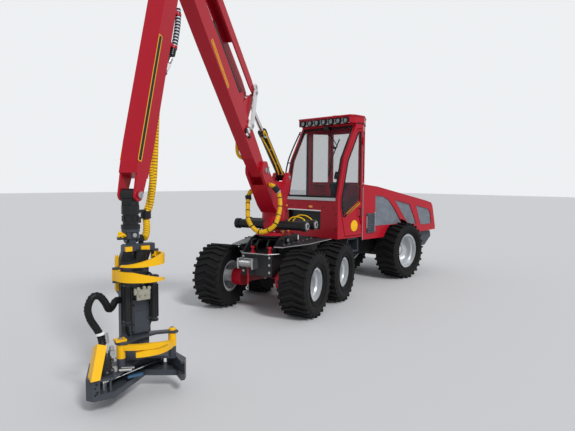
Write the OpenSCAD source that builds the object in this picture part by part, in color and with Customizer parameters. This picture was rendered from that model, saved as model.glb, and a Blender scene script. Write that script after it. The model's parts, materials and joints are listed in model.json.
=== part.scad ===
// Six-wheeled thinning harvester with a hinged frame, a parallel crane and a felling head.
// Lengths are in millimetres. +X is the rear frame's forward direction, +Y its left, +Z up.
// The wheels and the felling head stand on z = 0.

/* [Stance] */
// Place of the frame joint from the middle of the machine's footprint, along X
joint_x = -1130.18; // [-2000:0.01:0]
// Place of the frame joint from the middle of the machine's footprint, along Y
joint_y = -717.43; // [-1500:0.01:0]
// Left turn of the front frame, in degrees
steer_now = 18; // [-20:1:20]
// Left turn of the crane on the front frame, in degrees
slew_now = 8; // [-20:1:20]
// Boom's angle above level, in degrees
boom_now = 43.6; // [38:0.2:48]
// Left turn of the felling head under the crane, in degrees
head_now = 57; // [30:1:90]

/* [Wheels] */
// Diameter of a front tyre over its lugs
front_tyre_d = 880; // [840:5:900]
// Width of a front tyre
front_tyre_w = 410; // [380:5:420]
// Diameter of a front rim at the bead
front_rim_d = 394; // [380:1:420]
// Diameter of a rear tyre over its lugs
rear_tyre_d = 1020; // [980:5:1060]
// Width of a rear tyre
rear_tyre_w = 447; // [420:1:460]
// Diameter of a rear rim at the bead
rear_rim_d = 572; // [550:1:590]
// Height of the tread lugs
lug_h = 26; // [18:1:32]
// Lugs round a tyre
lug_count = 26; // [20:1:30]
// Width over the front tyres
front_track_w = 1720; // [1700:5:1800]
// Width over the rear tyres
rear_track_w = 1704; // [1690:2:1800]
// Distance between the two wheels of a bogie
bogie_wheelbase = 1040; // [1000:5:1100]
// Distance from the frame joint to the bogie pivot
bogie_x = 1625; // [1600:5:1700]
// Distance from the frame joint back to the rear axle
rear_axle_x = 1485; // [1450:5:1550]

/* [Front frame] */
// Width of the front frame
front_frame_w = 470; // [430:5:490]
// Height of the front frame's top
front_frame_top = 800; // [780:1:815]
// Height of the front frame's underside
front_frame_bottom = 560; // [540:5:600]
// Distance from the frame joint to the front end of the front frame
front_frame_x = 2290; // [2250:5:2350]
// Thickness of the deck plates
deck_t = 12; // [8:1:16]
// Height of the wing plates over the wheels
wing_z = 902; // [895:1:920]
// Diameter of the bogie pivot tube
bogie_tube_d = 190; // [160:5:200]
// Height of a bogie beam
bogie_beam_h = 210; // [180:5:230]
// Width of a bogie beam
bogie_beam_w = 150; // [120:5:160]

/* [Crane] */
// Distance from the frame joint to the slew axis
slew_x = 1800; // [1760:5:1850]
// Height of the slew house's base flange
slew_flange_z = 1040; // [1020:1:1060]
// Diameter of the slew house's base flange
slew_flange_d = 500; // [440:5:540]
// Diameter of a slew rack tube
rack_d = 125; // [110:1:135]
// Length of a slew rack tube
rack_len = 1110; // [1000:5:1150]
// Height of the column's lower face
column_z = 1316; // [1300:1:1330]
// Boom pivot ahead of the slew axis
boom_s = 630; // [600:5:660]
// Height of the boom pivot
boom_z = 1920; // [1880:5:1960]
// Lift cylinder's foot behind the slew axis
lift_foot_s = 335; // [320:5:350]
// Height of the lift cylinder's foot
lift_foot_z = 1835; // [1800:5:1860]
// Length of the boom between its pins
boom_len = 2830; // [2750:10:2900]
// Depth of the boom
boom_h = 230; // [200:5:250]
// Width of the boom
boom_w = 154; // [150:2:170]
// Length of the stick between its pins
stick_len = 2300; // [2200:10:2400]
// Stick's angle below level, in degrees
stick_lean = 73; // [68:0.5:78]
// Depth of the stick
stick_h = 190; // [160:5:200]
// Width of the stick
stick_w = 150; // [140:2:160]
// Diameter of the crane's pins
crane_pin_d = 60; // [50:2:64]
// Diameter of the lift cylinder's barrel
lift_d = 110; // [95:1:120]
// Diameter of the stick cylinder's barrel
stick_cyl_d = 84; // [70:1:88]
// Length of the lever between its pins
lever_len = 430; // [410:5:450]

/* [Felling head] */
// Tip pin over the felling head's zero level, which is the ground in the photographed stance
tip_over = 1672; // [1640:2:1700]
// Height of the saw housing's underside over that level
head_gap = 120; // [80:2:140]
// Width of the felling head's spine
head_w = 240; // [220:4:260]
// Depth of the felling head's spine
head_d = 130; // [110:5:130]
// Width of the saw housing
saw_w = 823; // [780:1:860]
// Height of the saw housing
saw_h = 165; // [150:5:180]
// Radius of an upper knife's arc
knife_r = 182; // [170:1:190]
// Height of an upper knife at its root
knife_h = 87; // [70:1:90]
// Diameter of a feed roller
roller_d = 70; // [60:2:74]
// Length of a feed roller
roller_len = 280; // [240:5:285]

/* [Cab] */
// Width of the cab
cab_w = 1220; // [1180:5:1260]
// Height of the cab's underside
cab_bottom = 842; // [835:1:860]
// Height of the roof's top
roof_top = 2880; // [2840:5:2920]
// Cab front ahead of the frame joint
cab_front = 326; // [310:1:340]
// Height of the windscreen's lower edge
screen_z = 1515; // [1490:5:1540]
// Thickness of the cab walls
cab_wall = 40; // [30:1:50]
// Rear edge of the door behind the frame joint
door_rear = 300; // [290:1:310]
// Rear wall of the cab behind the frame joint
cab_rear = 690; // [670:5:710]
// Thickness of the glass
glass_t = 6; // [4:1:8]

/* [Hood] */
// Width of the engine hood
hood_w = 1236; // [1200:2:1250]
// Height of the hood's front top edge
hood_front_z = 1725; // [1700:5:1750]
// Height of the hood's rear top edge
hood_rear_z = 1360; // [1340:5:1380]
// Height of the hood's underside
hood_bottom = 785; // [775:1:800]
// Rear end of the hood behind the frame joint
hood_rear = 2840; // [2800:5:2860]
// Thickness of the hood's panels
hood_wall = 22; // [16:1:28]

/* [Hidden] */
$fn = 48;

red = "#a3122b";
black = "#1d1e20";
grey = "#3b3f45";
silver = "#c5c8ca";
yellow = "#e8a80c";

fit = 0.3;          // gap between parts that seat on each other
pin_fit = 0.3;      // gap round a pin
side_gap = 5;       // gap beside a moving lug

// Places that follow from the sizes above
bogie_y = 345;
rear_axle_w = 760;
front_wheel_z = front_tyre_d / 2;
rear_wheel_z = rear_tyre_d / 2;
front_wheel_y = (front_track_w - front_tyre_w) / 2;
rear_wheel_y = (rear_track_w - rear_tyre_w) / 2;
front_hub_y = bogie_y + bogie_beam_w / 2 + fit - front_wheel_y;
rear_hub_y = rear_axle_w / 2 + fit - rear_wheel_y;
elbow_s = boom_s + boom_len * cos(boom_now);
elbow_z = boom_z + boom_len * sin(boom_now);
stick_turn = boom_now + stick_lean;
tip_s = elbow_s + stick_len * cos(stick_lean);
tip_z = elbow_z - stick_len * sin(stick_lean);

module at_rear() { translate([joint_x, joint_y, 0]) children(); }
module at_front() { at_rear() rotate([0, 0, steer_now]) children(); }
module at_crane() { at_front() translate([slew_x, 0, 0]) rotate([0, 0, slew_now]) children(); }
module at_boom() { at_crane() translate([boom_s, 0, boom_z]) rotate([0, -boom_now, 0]) children(); }
module at_stick() { at_boom() translate([boom_len, 0, 0]) rotate([0, stick_turn, 0]) children(); }
module at_tip() { at_crane() translate([tip_s, 0, tip_z]) children(); }
module at_head() { at_tip() translate([0, 0, -tip_over]) rotate([0, 0, head_now]) children(); }

// A plate or block whose outline lies in the XZ plane
module slab(outline, t, y = 0) {
  translate([0, y + t / 2, 0]) rotate([90, 0, 0]) linear_extrude(t) polygon(outline);
}
module both_sides(y) { for (side = [-1, 1]) translate([0, side * y, 0]) children(); }
module across(d, len, at = [0, 0, 0]) { translate(at) rotate([90, 0, 0]) cylinder(d = d, h = len, center = true); }
module along(d, len, at = [0, 0, 0]) { translate(at) rotate([0, 90, 0]) cylinder(d = d, h = len); }
module block(size, at = [0, 0, 0]) { translate(at) translate([-size[0] / 2, -size[1] / 2, 0]) cube(size); }

// Points of an arc in the plane, from angle a to angle b
function arc(centre, r, a, b, n) = [for (i = [0 : n]) centre + r * [cos(a + (b - a) * i / n), sin(a + (b - a) * i / n)]];
function mirrored(points) = [for (i = [len(points) - 1 : -1 : 0]) [points[i][0], -points[i][1]]];

// Swept tube along hand-chosen points, with rings square to the run
function unit(v) = v / norm(v);
function run_dir(path, i) = unit(path[min(i + 1, len(path) - 1)] - path[max(i - 1, 0)]);
function ring(path, i, r, sides, ref) =
  let (d = run_dir(path, i), a = unit(cross(d, ref)), b = cross(d, a))
  [for (k = [0 : sides - 1]) path[i] + r * (cos(360 * k / sides) * a + sin(360 * k / sides) * b)];
module tube(path, r, ref, sides = 8) {
  n = len(path);
  polyhedron(
    points = [for (i = [0 : n - 1]) each ring(path, i, r, sides, ref)],
    faces = concat(
      [[for (k = [0 : sides - 1]) k]],
      [for (i = [0 : n - 2]) for (k = [0 : sides - 1])
        [i * sides + k, (i + 1) * sides + k, (i + 1) * sides + (k + 1) % sides, i * sides + (k + 1) % sides]],
      [[for (k = [sides - 1 : -1 : 0]) (n - 1) * sides + k]]));
}
// Smooth points between hand-chosen ones
function spline_at(p, i, t) =
  let (n = len(p) - 1, a = p[max(i - 1, 0)], b = p[i], c = p[min(i + 1, n)], d = p[min(i + 2, n)])
  0.5 * (2 * b + (c - a) * t + (2 * a - 5 * b + 4 * c - d) * t * t + (3 * b - a - 3 * c + d) * t * t * t);
function smooth(p, steps) = concat([for (i = [0 : len(p) - 2]) for (k = [0 : steps - 1]) spline_at(p, i, k / steps)], [p[len(p) - 1]]);

// Wheels
flange_h = 25;
lug_root = 30;
// columns: place across the tyre as a share of its half width, middle of the lug round the tyre
lug_line = [[0, 29], [0.2, 9], [0.45, -3], [0.7, -27], [0.93, -29]];
lug_half = 17;
module tyre(d, w, rim_d) {
  top = sqrt(pow(d / 2, 2) - pow(lug_line[0][1] + lug_half, 2));
  r = top - lug_h;
  h = w / 2;
  bead = rim_d / 2 + fit;
  // columns: radius, place across the tyre
  half = [[r, h * 0.86], [r * 0.90, h], [r * 0.80, h * 0.98], [bead + 34, h * 0.88], [bead + 28, h * 0.72], [bead, h * 0.72]];
  right = [for (p = lug_line) [p[0] * h, p[1]]];
  left = [for (i = [len(lug_line) - 1 : -1 : 1]) [-lug_line[i][0] * h, lug_line[i][1]]];
  wave = concat(left, right);
  outline = concat([for (p = wave) [p[0], p[1] - lug_half]], [for (i = [len(wave) - 1 : -1 : 0]) [wave[i][0], wave[i][1] + lug_half]]);
  rotate([90, 0, 0]) {
    rotate_extrude($fn = 96) polygon(concat(half, [for (i = [len(half) - 1 : -1 : 0]) [half[i][0], -half[i][1]]]));
    for (i = [0 : lug_count - 1])
      rotate([0, 0, i * 360 / lug_count]) translate([r - lug_root, 0, 0]) rotate([0, 90, 0]) linear_extrude(lug_root + lug_h) polygon(outline);
  }
}
rim_t = 9;
module rim(w, rim_d, dish, hub_y) {
  h = w / 2 * 0.72;
  r = rim_d / 2;
  rf = r + flange_h;
  rotate([-90, 0, 0]) {
    rotate_extrude($fn = 96) polygon([[r - rim_t, -h - rim_t - fit], [rf, -h - rim_t - fit], [rf, -h - fit], [r, -h - fit],
      [r, h + fit], [rf, h + fit], [rf, h + rim_t + fit], [r - rim_t, h + rim_t + fit],
      [r - rim_t, h * 0.7], [r - rim_t * 3, h * 0.55], [r - rim_t * 3, dish + 30], [r * 0.62, dish + 12],
      [r * 0.5, dish], [0, dish], [0, dish - 16], [r * 0.52, dish - 16], [r - rim_t * 4.2, dish + 8],
      [r - rim_t * 4.2, -h * 0.55], [r - rim_t, -h * 0.7]]);
    translate([0, 0, hub_y]) cylinder(r = r * 0.42, h = dish - hub_y);
    translate([0, 0, dish - 1]) cylinder(r = r * 0.28, h = 46);
  }
}
// columns: name of the wheel, side, front or rear set, place along its frame
module front_tyre(x, side) { at_front() translate([x, side * front_wheel_y, front_wheel_z]) tyre(front_tyre_d, front_tyre_w, front_rim_d); }
module rear_tyre(side) { at_rear() translate([-rear_axle_x, side * rear_wheel_y, rear_wheel_z]) tyre(rear_tyre_d, rear_tyre_w, rear_rim_d); }
front_dish = -20;
rear_dish = -30;
module front_rim(x, side) {
  at_front() translate([x, side * front_wheel_y, front_wheel_z]) scale_side(side) rim(front_tyre_w, front_rim_d, front_dish, front_hub_y);
}
module rear_rim(side) {
  at_rear() translate([-rear_axle_x, side * rear_wheel_y, rear_wheel_z]) scale_side(side) rim(rear_tyre_w, rear_rim_d, rear_dish, rear_hub_y);
}
module scale_side(side) { if (side > 0) children(); else mirror([0, 1, 0]) children(); }
front_x = bogie_x + bogie_wheelbase / 2;
mid_x = bogie_x - bogie_wheelbase / 2;
module tyre_rear_left() { color(black) rear_tyre(1); }
module tyre_rear_right() { color(black) rear_tyre(-1); }
module tyre_front_left() { color(black) front_tyre(front_x, 1); }
module tyre_front_right() { color(black) front_tyre(front_x, -1); }
module tyre_mid_left() { color(black) front_tyre(mid_x, 1); }
module tyre_mid_right() { color(black) front_tyre(mid_x, -1); }
module rim_rear_left() { color(silver) rear_rim(1); }
module rim_rear_right() { color(silver) rear_rim(-1); }
module rim_front_left() { color(silver) front_rim(front_x, 1); }
module rim_front_right() { color(silver) front_rim(front_x, -1); }
module rim_mid_left() { color(silver) front_rim(mid_x, 1); }
module rim_mid_right() { color(silver) front_rim(mid_x, -1); }

// Rear frame
rail_t = 20;
rear_frame_w = 540;
rear_frame_top = cab_bottom - 14;
rear_rail_y = rear_frame_w / 2 - rail_t / 2;
joint_pin_d = 80;
joint_lug_r = 90;
rear_axle_d = 190;
axle_seat_z = rear_wheel_z + rear_axle_d / 2 + 2;
rail_rear_x = -2330;
module rear_chassis() {
  color(black) at_rear() {
    // rails that rise over the axle
    both_sides(rear_rail_y) slab([[-60, 470], [-60, rear_frame_top], [rail_rear_x, rear_frame_top], [rail_rear_x, 560],
      [-rear_axle_x - 260, axle_seat_z], [-rear_axle_x + 260, axle_seat_z], [-rear_axle_x + 420, 470]], rail_t);
    translate([0, 0, rear_frame_top - 20]) linear_extrude(20)
      polygon([[-140, -rear_rail_y], [-140, rear_rail_y], [rail_rear_x, rear_rail_y], [rail_rear_x, -rear_rail_y]]);
    block([20, rear_frame_w - 2 * rail_t + 2, rear_frame_top - 470], [-130, 0, 470]);
    block([20, rear_frame_w - 2 * rail_t + 2, rear_frame_top - 560], [rail_rear_x + 10, 0, 560]);
    // upper and lower fork of the frame joint
    difference() {
      for (z = [500, 730]) translate([0, 0, z]) linear_extrude(44) polygon(concat([[-139, -150]], arc([0, 0], joint_lug_r, -70, 70, 10), [[-139, 150]]));
      translate([0, 0, 400]) cylinder(d = joint_pin_d + 2 * pin_fit, h = 500);
    }
    // outriggers under the hood, pads under the cab
    for (x = [-860, -2240]) block([60, hood_w - 2 * hood_wall - 2 * fit, 34], [x, 0, rear_frame_top - 36]);
    both_sides(200) for (x = [-240, -560]) block([90, 90, cab_bottom - rear_frame_top - fit + 1], [x, 0, rear_frame_top - 1]);
    // axle seat
    both_sides(rear_rail_y - 55) block([200, 110, 40], [-rear_axle_x, 0, axle_seat_z]);
  }
}
module rear_axle() {
  color(black) at_rear() translate([-rear_axle_x, 0, rear_wheel_z]) {
    across(rear_axle_d, rear_axle_w);
    rotate([90, 0, 0]) cylinder(d = 300, h = 170, center = true);
    along(130, 190, [90, 0, 0]);
    both_sides(190) block([150, 70, 94.5], [0, 0, 2]);
    both_sides(rear_axle_w / 2 - 30) across(250, 60);
  }
}
engine_x = -1650;
module engine_block() {
  color(grey) at_rear() block([1000, 460, 440], [engine_x, 0, rear_frame_top + fit]);
}
// columns: place along the frame, height
hood_line = [[-door_rear - 34, hood_bottom], [-door_rear - 34, hood_front_z], [-760, hood_front_z - 40],
             [-2440, hood_rear_z + 42], [-2668, hood_rear_z - 6], [-2720, hood_rear_z - 70], [-hood_rear, 880], [-hood_rear, hood_bottom + 30], [-2110, hood_bottom + 10],
             [-2110, hood_bottom + 4], [-940, hood_bottom]];
arch_r = rear_tyre_d / 2 + 62;
arch_in_y = rear_wheel_y - rear_tyre_w / 2 - 26;
// columns: the three side windows as outlines, place along the frame and height
mesh_windows = [
  [[-700, 995], [-700, 1545], [-960, 1520], [-1120, 1460], [-1310, 1300], [-1590, 995]],
  [[-1790, 975], [-1310, 1450], [-1840, 1355], [-2110, 965]],
  [[-2260, 930], [-2070, 1330], [-2560, 1240], [-2650, 1130], [-2680, 930]]];
cab_plan = [[cab_front, cab_w / 2], [cab_front, -cab_w / 2], [-door_rear - 20, -cab_w / 2], [-cab_rear, -cab_w / 2 + 225],
            [-cab_rear, cab_w / 2 - 225], [-door_rear - 20, cab_w / 2]];
hood_gap = 10;
module hood_block(inset) {
  slab([for (p = hood_line) p], hood_w - 2 * inset);
}
module hood() {
  color(red) at_rear() difference() {
    slab(hood_line, hood_w);
    // inside
    slab([[-door_rear - 34 - 1, hood_bottom - 50], [-door_rear - 35, hood_front_z - hood_wall], [-760, hood_front_z - 40 - hood_wall],
          [-2440, hood_rear_z + 42 - hood_wall], [-2640, hood_rear_z - 10 - hood_wall], [-2700, hood_rear_z - 80],
          [-hood_rear + hood_wall, 876], [-hood_rear + hood_wall, hood_bottom - 50]], hood_w - 2 * hood_wall);
    // open front round the cab's narrow back
    translate([0, 0, cab_bottom - 100]) linear_extrude(2000) polygon([for (p = cab_plan) [p[0] - (p[0] < -500 ? hood_gap : 0), p[1] + (p[1] > 0 ? hood_gap : -hood_gap)]]);
    for (w = mesh_windows) slab(w, hood_w + 10);
    // wheel arches
    both_sides(arch_in_y + 200) across(2 * arch_r, 400, [-rear_axle_x, 0, rear_wheel_z]);
  }
}
module hood_mesh() {
  color(grey) at_rear() {
    both_sides(hood_w / 2 - hood_wall - 4 - fit) difference() {
      slab([[-680, 975], [-680, 1570], [-975, 1545], [-1320, 1480], [-1860, 1385], [-2075, 1355], [-2590, 1262], [-2670, 1140],
            [-2700, 905], [-2240, 905], [-1760, 950]], 8);
      across(2 * arch_r + 10, 40, [-rear_axle_x, 0, rear_wheel_z]);
    }
    // louvred boxes low at the hood's front
    both_sides(hood_w / 2 + 14 + fit) for (z = [900 : 42 : 1200]) block([210, 28, 30], [-560, 0, z]);
    both_sides(hood_w / 2 + 4 + fit) block([230, 8, 340], [-560, 0, 892]);
  }
}
module rear_bumper() {
  color(grey) at_rear() {
    difference() {
      slab([[rail_rear_x - fit, 500], [rail_rear_x - fit, 770], [-2850, 770], [-2880, 660], [-2640, 490]], 1000);
      slab([[rail_rear_x - 60, 560], [rail_rear_x - 60, 800], [-2700, 800], [-2700, 640], [-2620, 560]], 900);
    }
  }
}
// Cab. columns of the side outline: place along the frame, height
screen_top_x = -130;
screen_top_z = 2720;
screen_mid = [176, 2150];
roof_t = 130;
cab_top = roof_top - roof_t;
cab_side = [[cab_front, cab_bottom], [cab_front, screen_z], screen_mid, [screen_top_x, screen_top_z], [screen_top_x, cab_top],
            [-cab_rear, cab_top], [-cab_rear, cab_bottom]];
post = 55;
module cab_solid(inset) {
  intersection() {
    slab(cab_side, cab_w - 2 * inset);
    translate([0, 0, cab_bottom - 1]) linear_extrude(3000) polygon(cab_plan);
  }
}
// Outline of the door opening: place along the frame, height
door_line = [[-door_rear + 2, 880], [130, 880], [262, 1370], [262, 1510], [128, 2130], [-152, 2640], [-door_rear + 2, 2670]];
door_open = [[-door_rear, 870], [140, 870], [274, 1368], [274, 1512], [138, 2136], [-148, 2652], [-door_rear, 2680]];
door_window = [[-door_rear + 50, 1460], [-door_rear + 50, 2610], [-190, 2590], [88, 2110], [214, 1500], [214, 1380], [176, 1225], [150, 1212]];
side_window = [[-door_rear + 30, 1200], [-door_rear + 30, 2650], [-160, 2630], [112, 2120], [240, 1500], [240, 1200]];
hinge_y = cab_w / 2 + 16;
hinge_d = 30;
module cab_shell() {
  color(red) at_rear() for (z = [1060, 2400]) {
    translate([-door_rear, hinge_y, z]) cylinder(d = hinge_d, h = 60);
    translate([-door_rear - 30, cab_w / 2 - 4, z]) cube([30, 12, 60]);
  }
  color(red) at_rear() difference() {
    cab_solid(0);
    // inside
    intersection() {
      slab([[cab_front - cab_wall, cab_bottom + 30], [cab_front - cab_wall, screen_z], [screen_mid[0] - cab_wall, screen_mid[1]],
            [screen_top_x - cab_wall, screen_top_z - 20], [screen_top_x - cab_wall, cab_top + 10], [-cab_rear + cab_wall, cab_top + 10],
            [-cab_rear + cab_wall, cab_bottom + 30]], cab_w - 2 * cab_wall);
      translate([0, 0, cab_bottom - 1]) linear_extrude(3000)
        polygon([[cab_front, cab_w / 2 - cab_wall], [cab_front, -cab_w / 2 + cab_wall], [-door_rear - 12, -cab_w / 2 + cab_wall],
                 [-cab_rear + cab_wall, -cab_w / 2 + 225 + cab_wall * 0.7], [-cab_rear + cab_wall, cab_w / 2 - 225 - cab_wall * 0.7],
                 [-door_rear - 12, cab_w / 2 - cab_wall]]);
    }
    // windscreen
    translate([0, 0, screen_z + 20]) linear_extrude(screen_top_z - screen_z - 50)
      polygon([[-160, cab_w / 2 - post], [600, cab_w / 2 - post], [600, -cab_w / 2 + post], [-160, -cab_w / 2 + post]]);
    // door opening on the left, side window on the right
    slab(door_open, 200, cab_w / 2);
    slab(side_window, 200, -cab_w / 2);
    // corner windows and rear window
    for (side = [-1, 1]) translate([-door_rear - 205, side * (cab_w / 2 - 113), 1760]) rotate([0, 0, side * 31.3]) block([300, 200, 880]);
    block([200, cab_w - 2 * 225 - 110, 880], [-cab_rear, 0, 1760]);
    // recess low on the front
    block([160, 740, 300], [cab_front, -130, 980]);
  }
}
module front_box() {
  color(black) at_rear() difference() {
    block([60, 740 - 2 * fit, 300 - 2 * fit], [cab_front - 70, -130, 980 + fit]);
    block([40, 700, 260], [cab_front - 40, -130, 1000]);
  }
}
module cab_glass() {
  color("#8fa3b0") at_rear() {
    // windscreen sheet, set in the front opening
    intersection() {
      slab([[cab_front - 12, screen_z + 20 + fit], [screen_mid[0] - 10, screen_mid[1]], [screen_top_x - 10, screen_top_z - 32],
            [screen_top_x - 10 - glass_t, screen_top_z - 32], [screen_mid[0] - 10 - glass_t, screen_mid[1]], [cab_front - 12 - glass_t, screen_z + 20 + fit]],
           cab_w - 2 * post - 2 * fit);
    }
    slab([[-door_rear + 30 + fit, 1200 + fit], [-door_rear + 30 + fit, 2649], [-160, 2629], [111, 2120], [239, 1500], [239, 1200 + fit]], glass_t, -cab_w / 2 + 16);
    for (side = [-1, 1]) translate([-door_rear - 205, side * (cab_w / 2 - 113), 1760 + fit]) rotate([0, 0, side * 31.3]) translate([0, side * -14, 0]) block([300 - 2 * fit, glass_t, 879]);
    block([glass_t, cab_w - 2 * 225 - 110 - 2 * fit, 879], [-cab_rear + 16, 0, 1760 + fit]);
  }
}
visor = 130;
module cab_roof() {
  color(red) at_rear() {
    difference() {
      translate([0, 0, cab_top + fit]) linear_extrude(roof_t - fit)
        polygon([[screen_top_x + visor, cab_w / 2 - 40], [screen_top_x + visor, -cab_w / 2 + 40], [screen_top_x + 60, -cab_w / 2 - 10],
                 [-door_rear - 30, -cab_w / 2 - 10], [-cab_rear - 10, -cab_w / 2 + 225], [-cab_rear - 10, cab_w / 2 - 225],
                 [-door_rear - 30, cab_w / 2 + 10], [screen_top_x + 60, cab_w / 2 + 10]]);
      // recess for the lamps under the front lip
      block([60, cab_w - 110, 90], [screen_top_x + visor - 20, 0, cab_top - 1]);
    }
    block([170, 90, 46], [-330, 40, roof_top]);
  }
}
lamp_count = 7;
lamp_step = (cab_w - 260) / (lamp_count - 1);
module roof_lamps() {
  color(silver) at_rear() {
    block([14, cab_w - 114, 84], [screen_top_x + visor - 43, 0, cab_top + 2]);
    for (i = [0 : lamp_count - 1]) translate([screen_top_x + visor - 36, (i - (lamp_count - 1) / 2) * lamp_step, cab_top + 44])
      rotate([0, 90, 0]) cylinder(d1 = 60, d2 = 76, h = 30, $fn = 32);
  }
}
module seat() {
  color(black) at_rear() {
    block([380, 480, 110], [-130, 0, 1180]);
    translate([-330, 0, 1200]) rotate([0, -12, 0]) block([110, 470, 620]);
    translate([-450, 0, 1800]) rotate([0, -12, 0]) block([90, 280, 180]);
    block([260, 300, 1180 - cab_bottom - 30 - fit], [-150, 0, cab_bottom + 30 + fit]);
    both_sides(285) block([280, 70, 60], [-90, 0, 1330]);
    both_sides(262) block([60, 80, 180], [-180, 0, 1200]);
  }
}
module console() {
  color(grey) at_rear() {
    block([120, 420, 380], [150, 0, cab_bottom + 30 + fit]);
    translate([178, -330, 1290]) rotate([0, -20, 20]) block([20, 260, 190]);
    block([30, 30, 370], [188, -330, cab_bottom + 30 + fit + 60]);
    block([120, 60, 60.5], [170, -330, cab_bottom + 30 + fit]);
  }
}
module cab_steps() {
  color(grey) at_rear() {
    both_sides(430) difference() {
      block([300, 260, 250], [-150, 0, cab_bottom - 250 - fit]);
      block([260, 300, 190], [-150, 0, cab_bottom - 230]);
    }
  }
}
door_t = 40;
module door() {
  color(red) at_rear() difference() {
    slab(door_line, door_t, cab_w / 2 - door_t / 2);
    slab(door_window, door_t + 20, cab_w / 2 - door_t / 2);
  }
  color(red) at_rear() for (z = [1060, 2400]) {
    translate([-door_rear, hinge_y, z + 60 + fit]) cylinder(d = hinge_d, h = 60);
    translate([-door_rear, cab_w / 2 + 1, z + 60 + fit]) cube([40, 7, 60]);
    translate([-door_rear + 10, cab_w / 2 - 4, z + 60 + fit]) cube([30, 10, 60]);
  }
}
module door_glass() {
  color("#8fa3b0") at_rear() slab([for (p = door_window) [p[0], p[1]]] , glass_t, cab_w / 2 - 14);
}
// Front frame
front_rail_y = front_frame_w / 2 - rail_t / 2;
module front_chassis() {
  color(black) at_front() {
    both_sides(front_rail_y) slab([[160, front_frame_bottom], [160, front_frame_top - 80], [420, front_frame_top],
      [front_frame_x, front_frame_top], [front_frame_x, 500], [front_frame_x - 240, 480], [front_frame_x - 420, front_frame_bottom]], rail_t);
    translate([0, 0, front_frame_top - 20]) linear_extrude(20)
      polygon([[420, -front_rail_y], [420, front_rail_y], [front_frame_x, front_rail_y], [front_frame_x, -front_rail_y]]);
    block([20, front_frame_w, front_frame_top - 500], [front_frame_x - 10, 0, 500]);
    block([20, 2 * front_rail_y, front_frame_top - 81 - front_frame_bottom], [170, 0, front_frame_bottom]);
    // eye of the frame joint between the rear frame's forks, and its pin
    translate([0, 0, 550]) linear_extrude(174) polygon(concat([[162, -150], [162, 150]], arc([0, 0], joint_lug_r, 70, 290, 12)));
    cylinder_pin();
    // saddle round the bogie pivot tube
    difference() {
      slab([[bogie_x - 150, front_frame_bottom + 40], [bogie_x + 150, front_frame_bottom + 40], [bogie_x + 120, front_wheel_z - 20],
            [bogie_x - 120, front_wheel_z - 20]], 300);
      across(bogie_tube_d + 2 * fit, 400, [bogie_x, 0, front_wheel_z]);
    }
  }
}
module cylinder_pin() { translate([0, 0, 486]) cylinder(d = joint_pin_d, h = 302); }
module bogie_beams() {
  color(red) at_front() {
    across(bogie_tube_d, 2 * bogie_y, [bogie_x, 0, front_wheel_z]);
    both_sides(bogie_y) {
      slab([[mid_x, front_wheel_z - bogie_beam_h * 0.36], [bogie_x - 130, front_wheel_z - bogie_beam_h / 2],
            [bogie_x + 130, front_wheel_z - bogie_beam_h / 2], [front_x, front_wheel_z - bogie_beam_h * 0.36],
            [front_x, front_wheel_z + bogie_beam_h * 0.36], [bogie_x + 130, front_wheel_z + bogie_beam_h / 2],
            [bogie_x - 130, front_wheel_z + bogie_beam_h / 2], [mid_x, front_wheel_z + bogie_beam_h * 0.36]], bogie_beam_w);
      for (x = [mid_x, bogie_x, front_x]) across(bogie_beam_h * 1.12, bogie_beam_w, [x, 0, front_wheel_z]);
    }
  }
}
deck_z = front_frame_top + fit;
module deck() {
  color(black) at_front() {
    // low front plate with cut corners
    translate([0, 0, deck_z]) linear_extrude(deck_t)
      polygon([[slew_x - 345, -330], [slew_x - 345, 330], [front_x + 60, 300], [front_x + 185, 200], [front_x + 185, -200], [front_x + 60, -300]]);
    // wing plates over the wheels, on upright webs
    for (side = [-1, 1]) {
      translate([0, 0, wing_z]) linear_extrude(deck_t)
        polygon([[front_x - 30, side * 240], [front_x + 130, side * 260], [front_x + 130, side * 395], [front_x - 400, side * 545], [mid_x - 60, side * 585],
                 [mid_x - 60, side * 240]]);
      translate([0, side * 246, deck_z]) block([front_x - mid_x + 30, 12, wing_z - deck_z + 1], [(front_x + mid_x) / 2 - 45, 0, 0]);
    }
  }
  color(red) at_front() for (y = [-30, 230]) translate([front_x + 135, y - 30, deck_z + deck_t - 1]) {
    cylinder(d = 64, h = 12);
    cylinder(d = 30, h = 84);
    translate([0, 0, 76]) cylinder(d = 50, h = 14);
  }
}
rack_y = 32;
rack_x = 148;
rack_z = 1172;
module slew_house() {
  // black wedge of upright plates
  color(black) at_front() {
    both_sides(215) slab([[slew_x - 330, deck_z + deck_t + fit], [front_x + 100, deck_z + deck_t + fit], [front_x + 100, 850], [slew_x + 250, slew_flange_z - 50],
      [slew_x + 120, slew_flange_z - 16], [slew_x - 330, slew_flange_z - 16]], 24);
    block([24, 430, slew_flange_z - 16 - deck_z - deck_t - fit], [slew_x - 318, 0, deck_z + deck_t + fit]);
    translate([slew_x, 0, slew_flange_z - 40]) cylinder(d = slew_flange_d - 40, h = 24.5);
    across(80, 480, [slew_x + 30, 0, slew_flange_z - 90]);
  }
  color(red) at_front() translate([slew_x, 0, slew_flange_z - 16]) {
    cylinder(d = slew_flange_d, h = 40, $fn = 64);
    for (a = [0 : 30 : 330]) rotate([0, 0, a]) translate([slew_flange_d / 2 - 34, 0, 39]) cylinder(d = 30, h = 18);
    // pinion housing
    difference() {
      union() {
        translate([0, 0, 39]) cylinder(d = 330, h = column_z - slew_flange_z - 23 - fit);
        translate([70, rack_y, rack_z - slew_flange_z + 16]) rotate([0, 90, 0]) cylinder(d = 150, h = 160);
      }
      for (x = [-rack_x, rack_x]) across(rack_d + 2 * fit, 800, [x, 0, rack_z - slew_flange_z + 16]);
    }
  }
}
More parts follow.
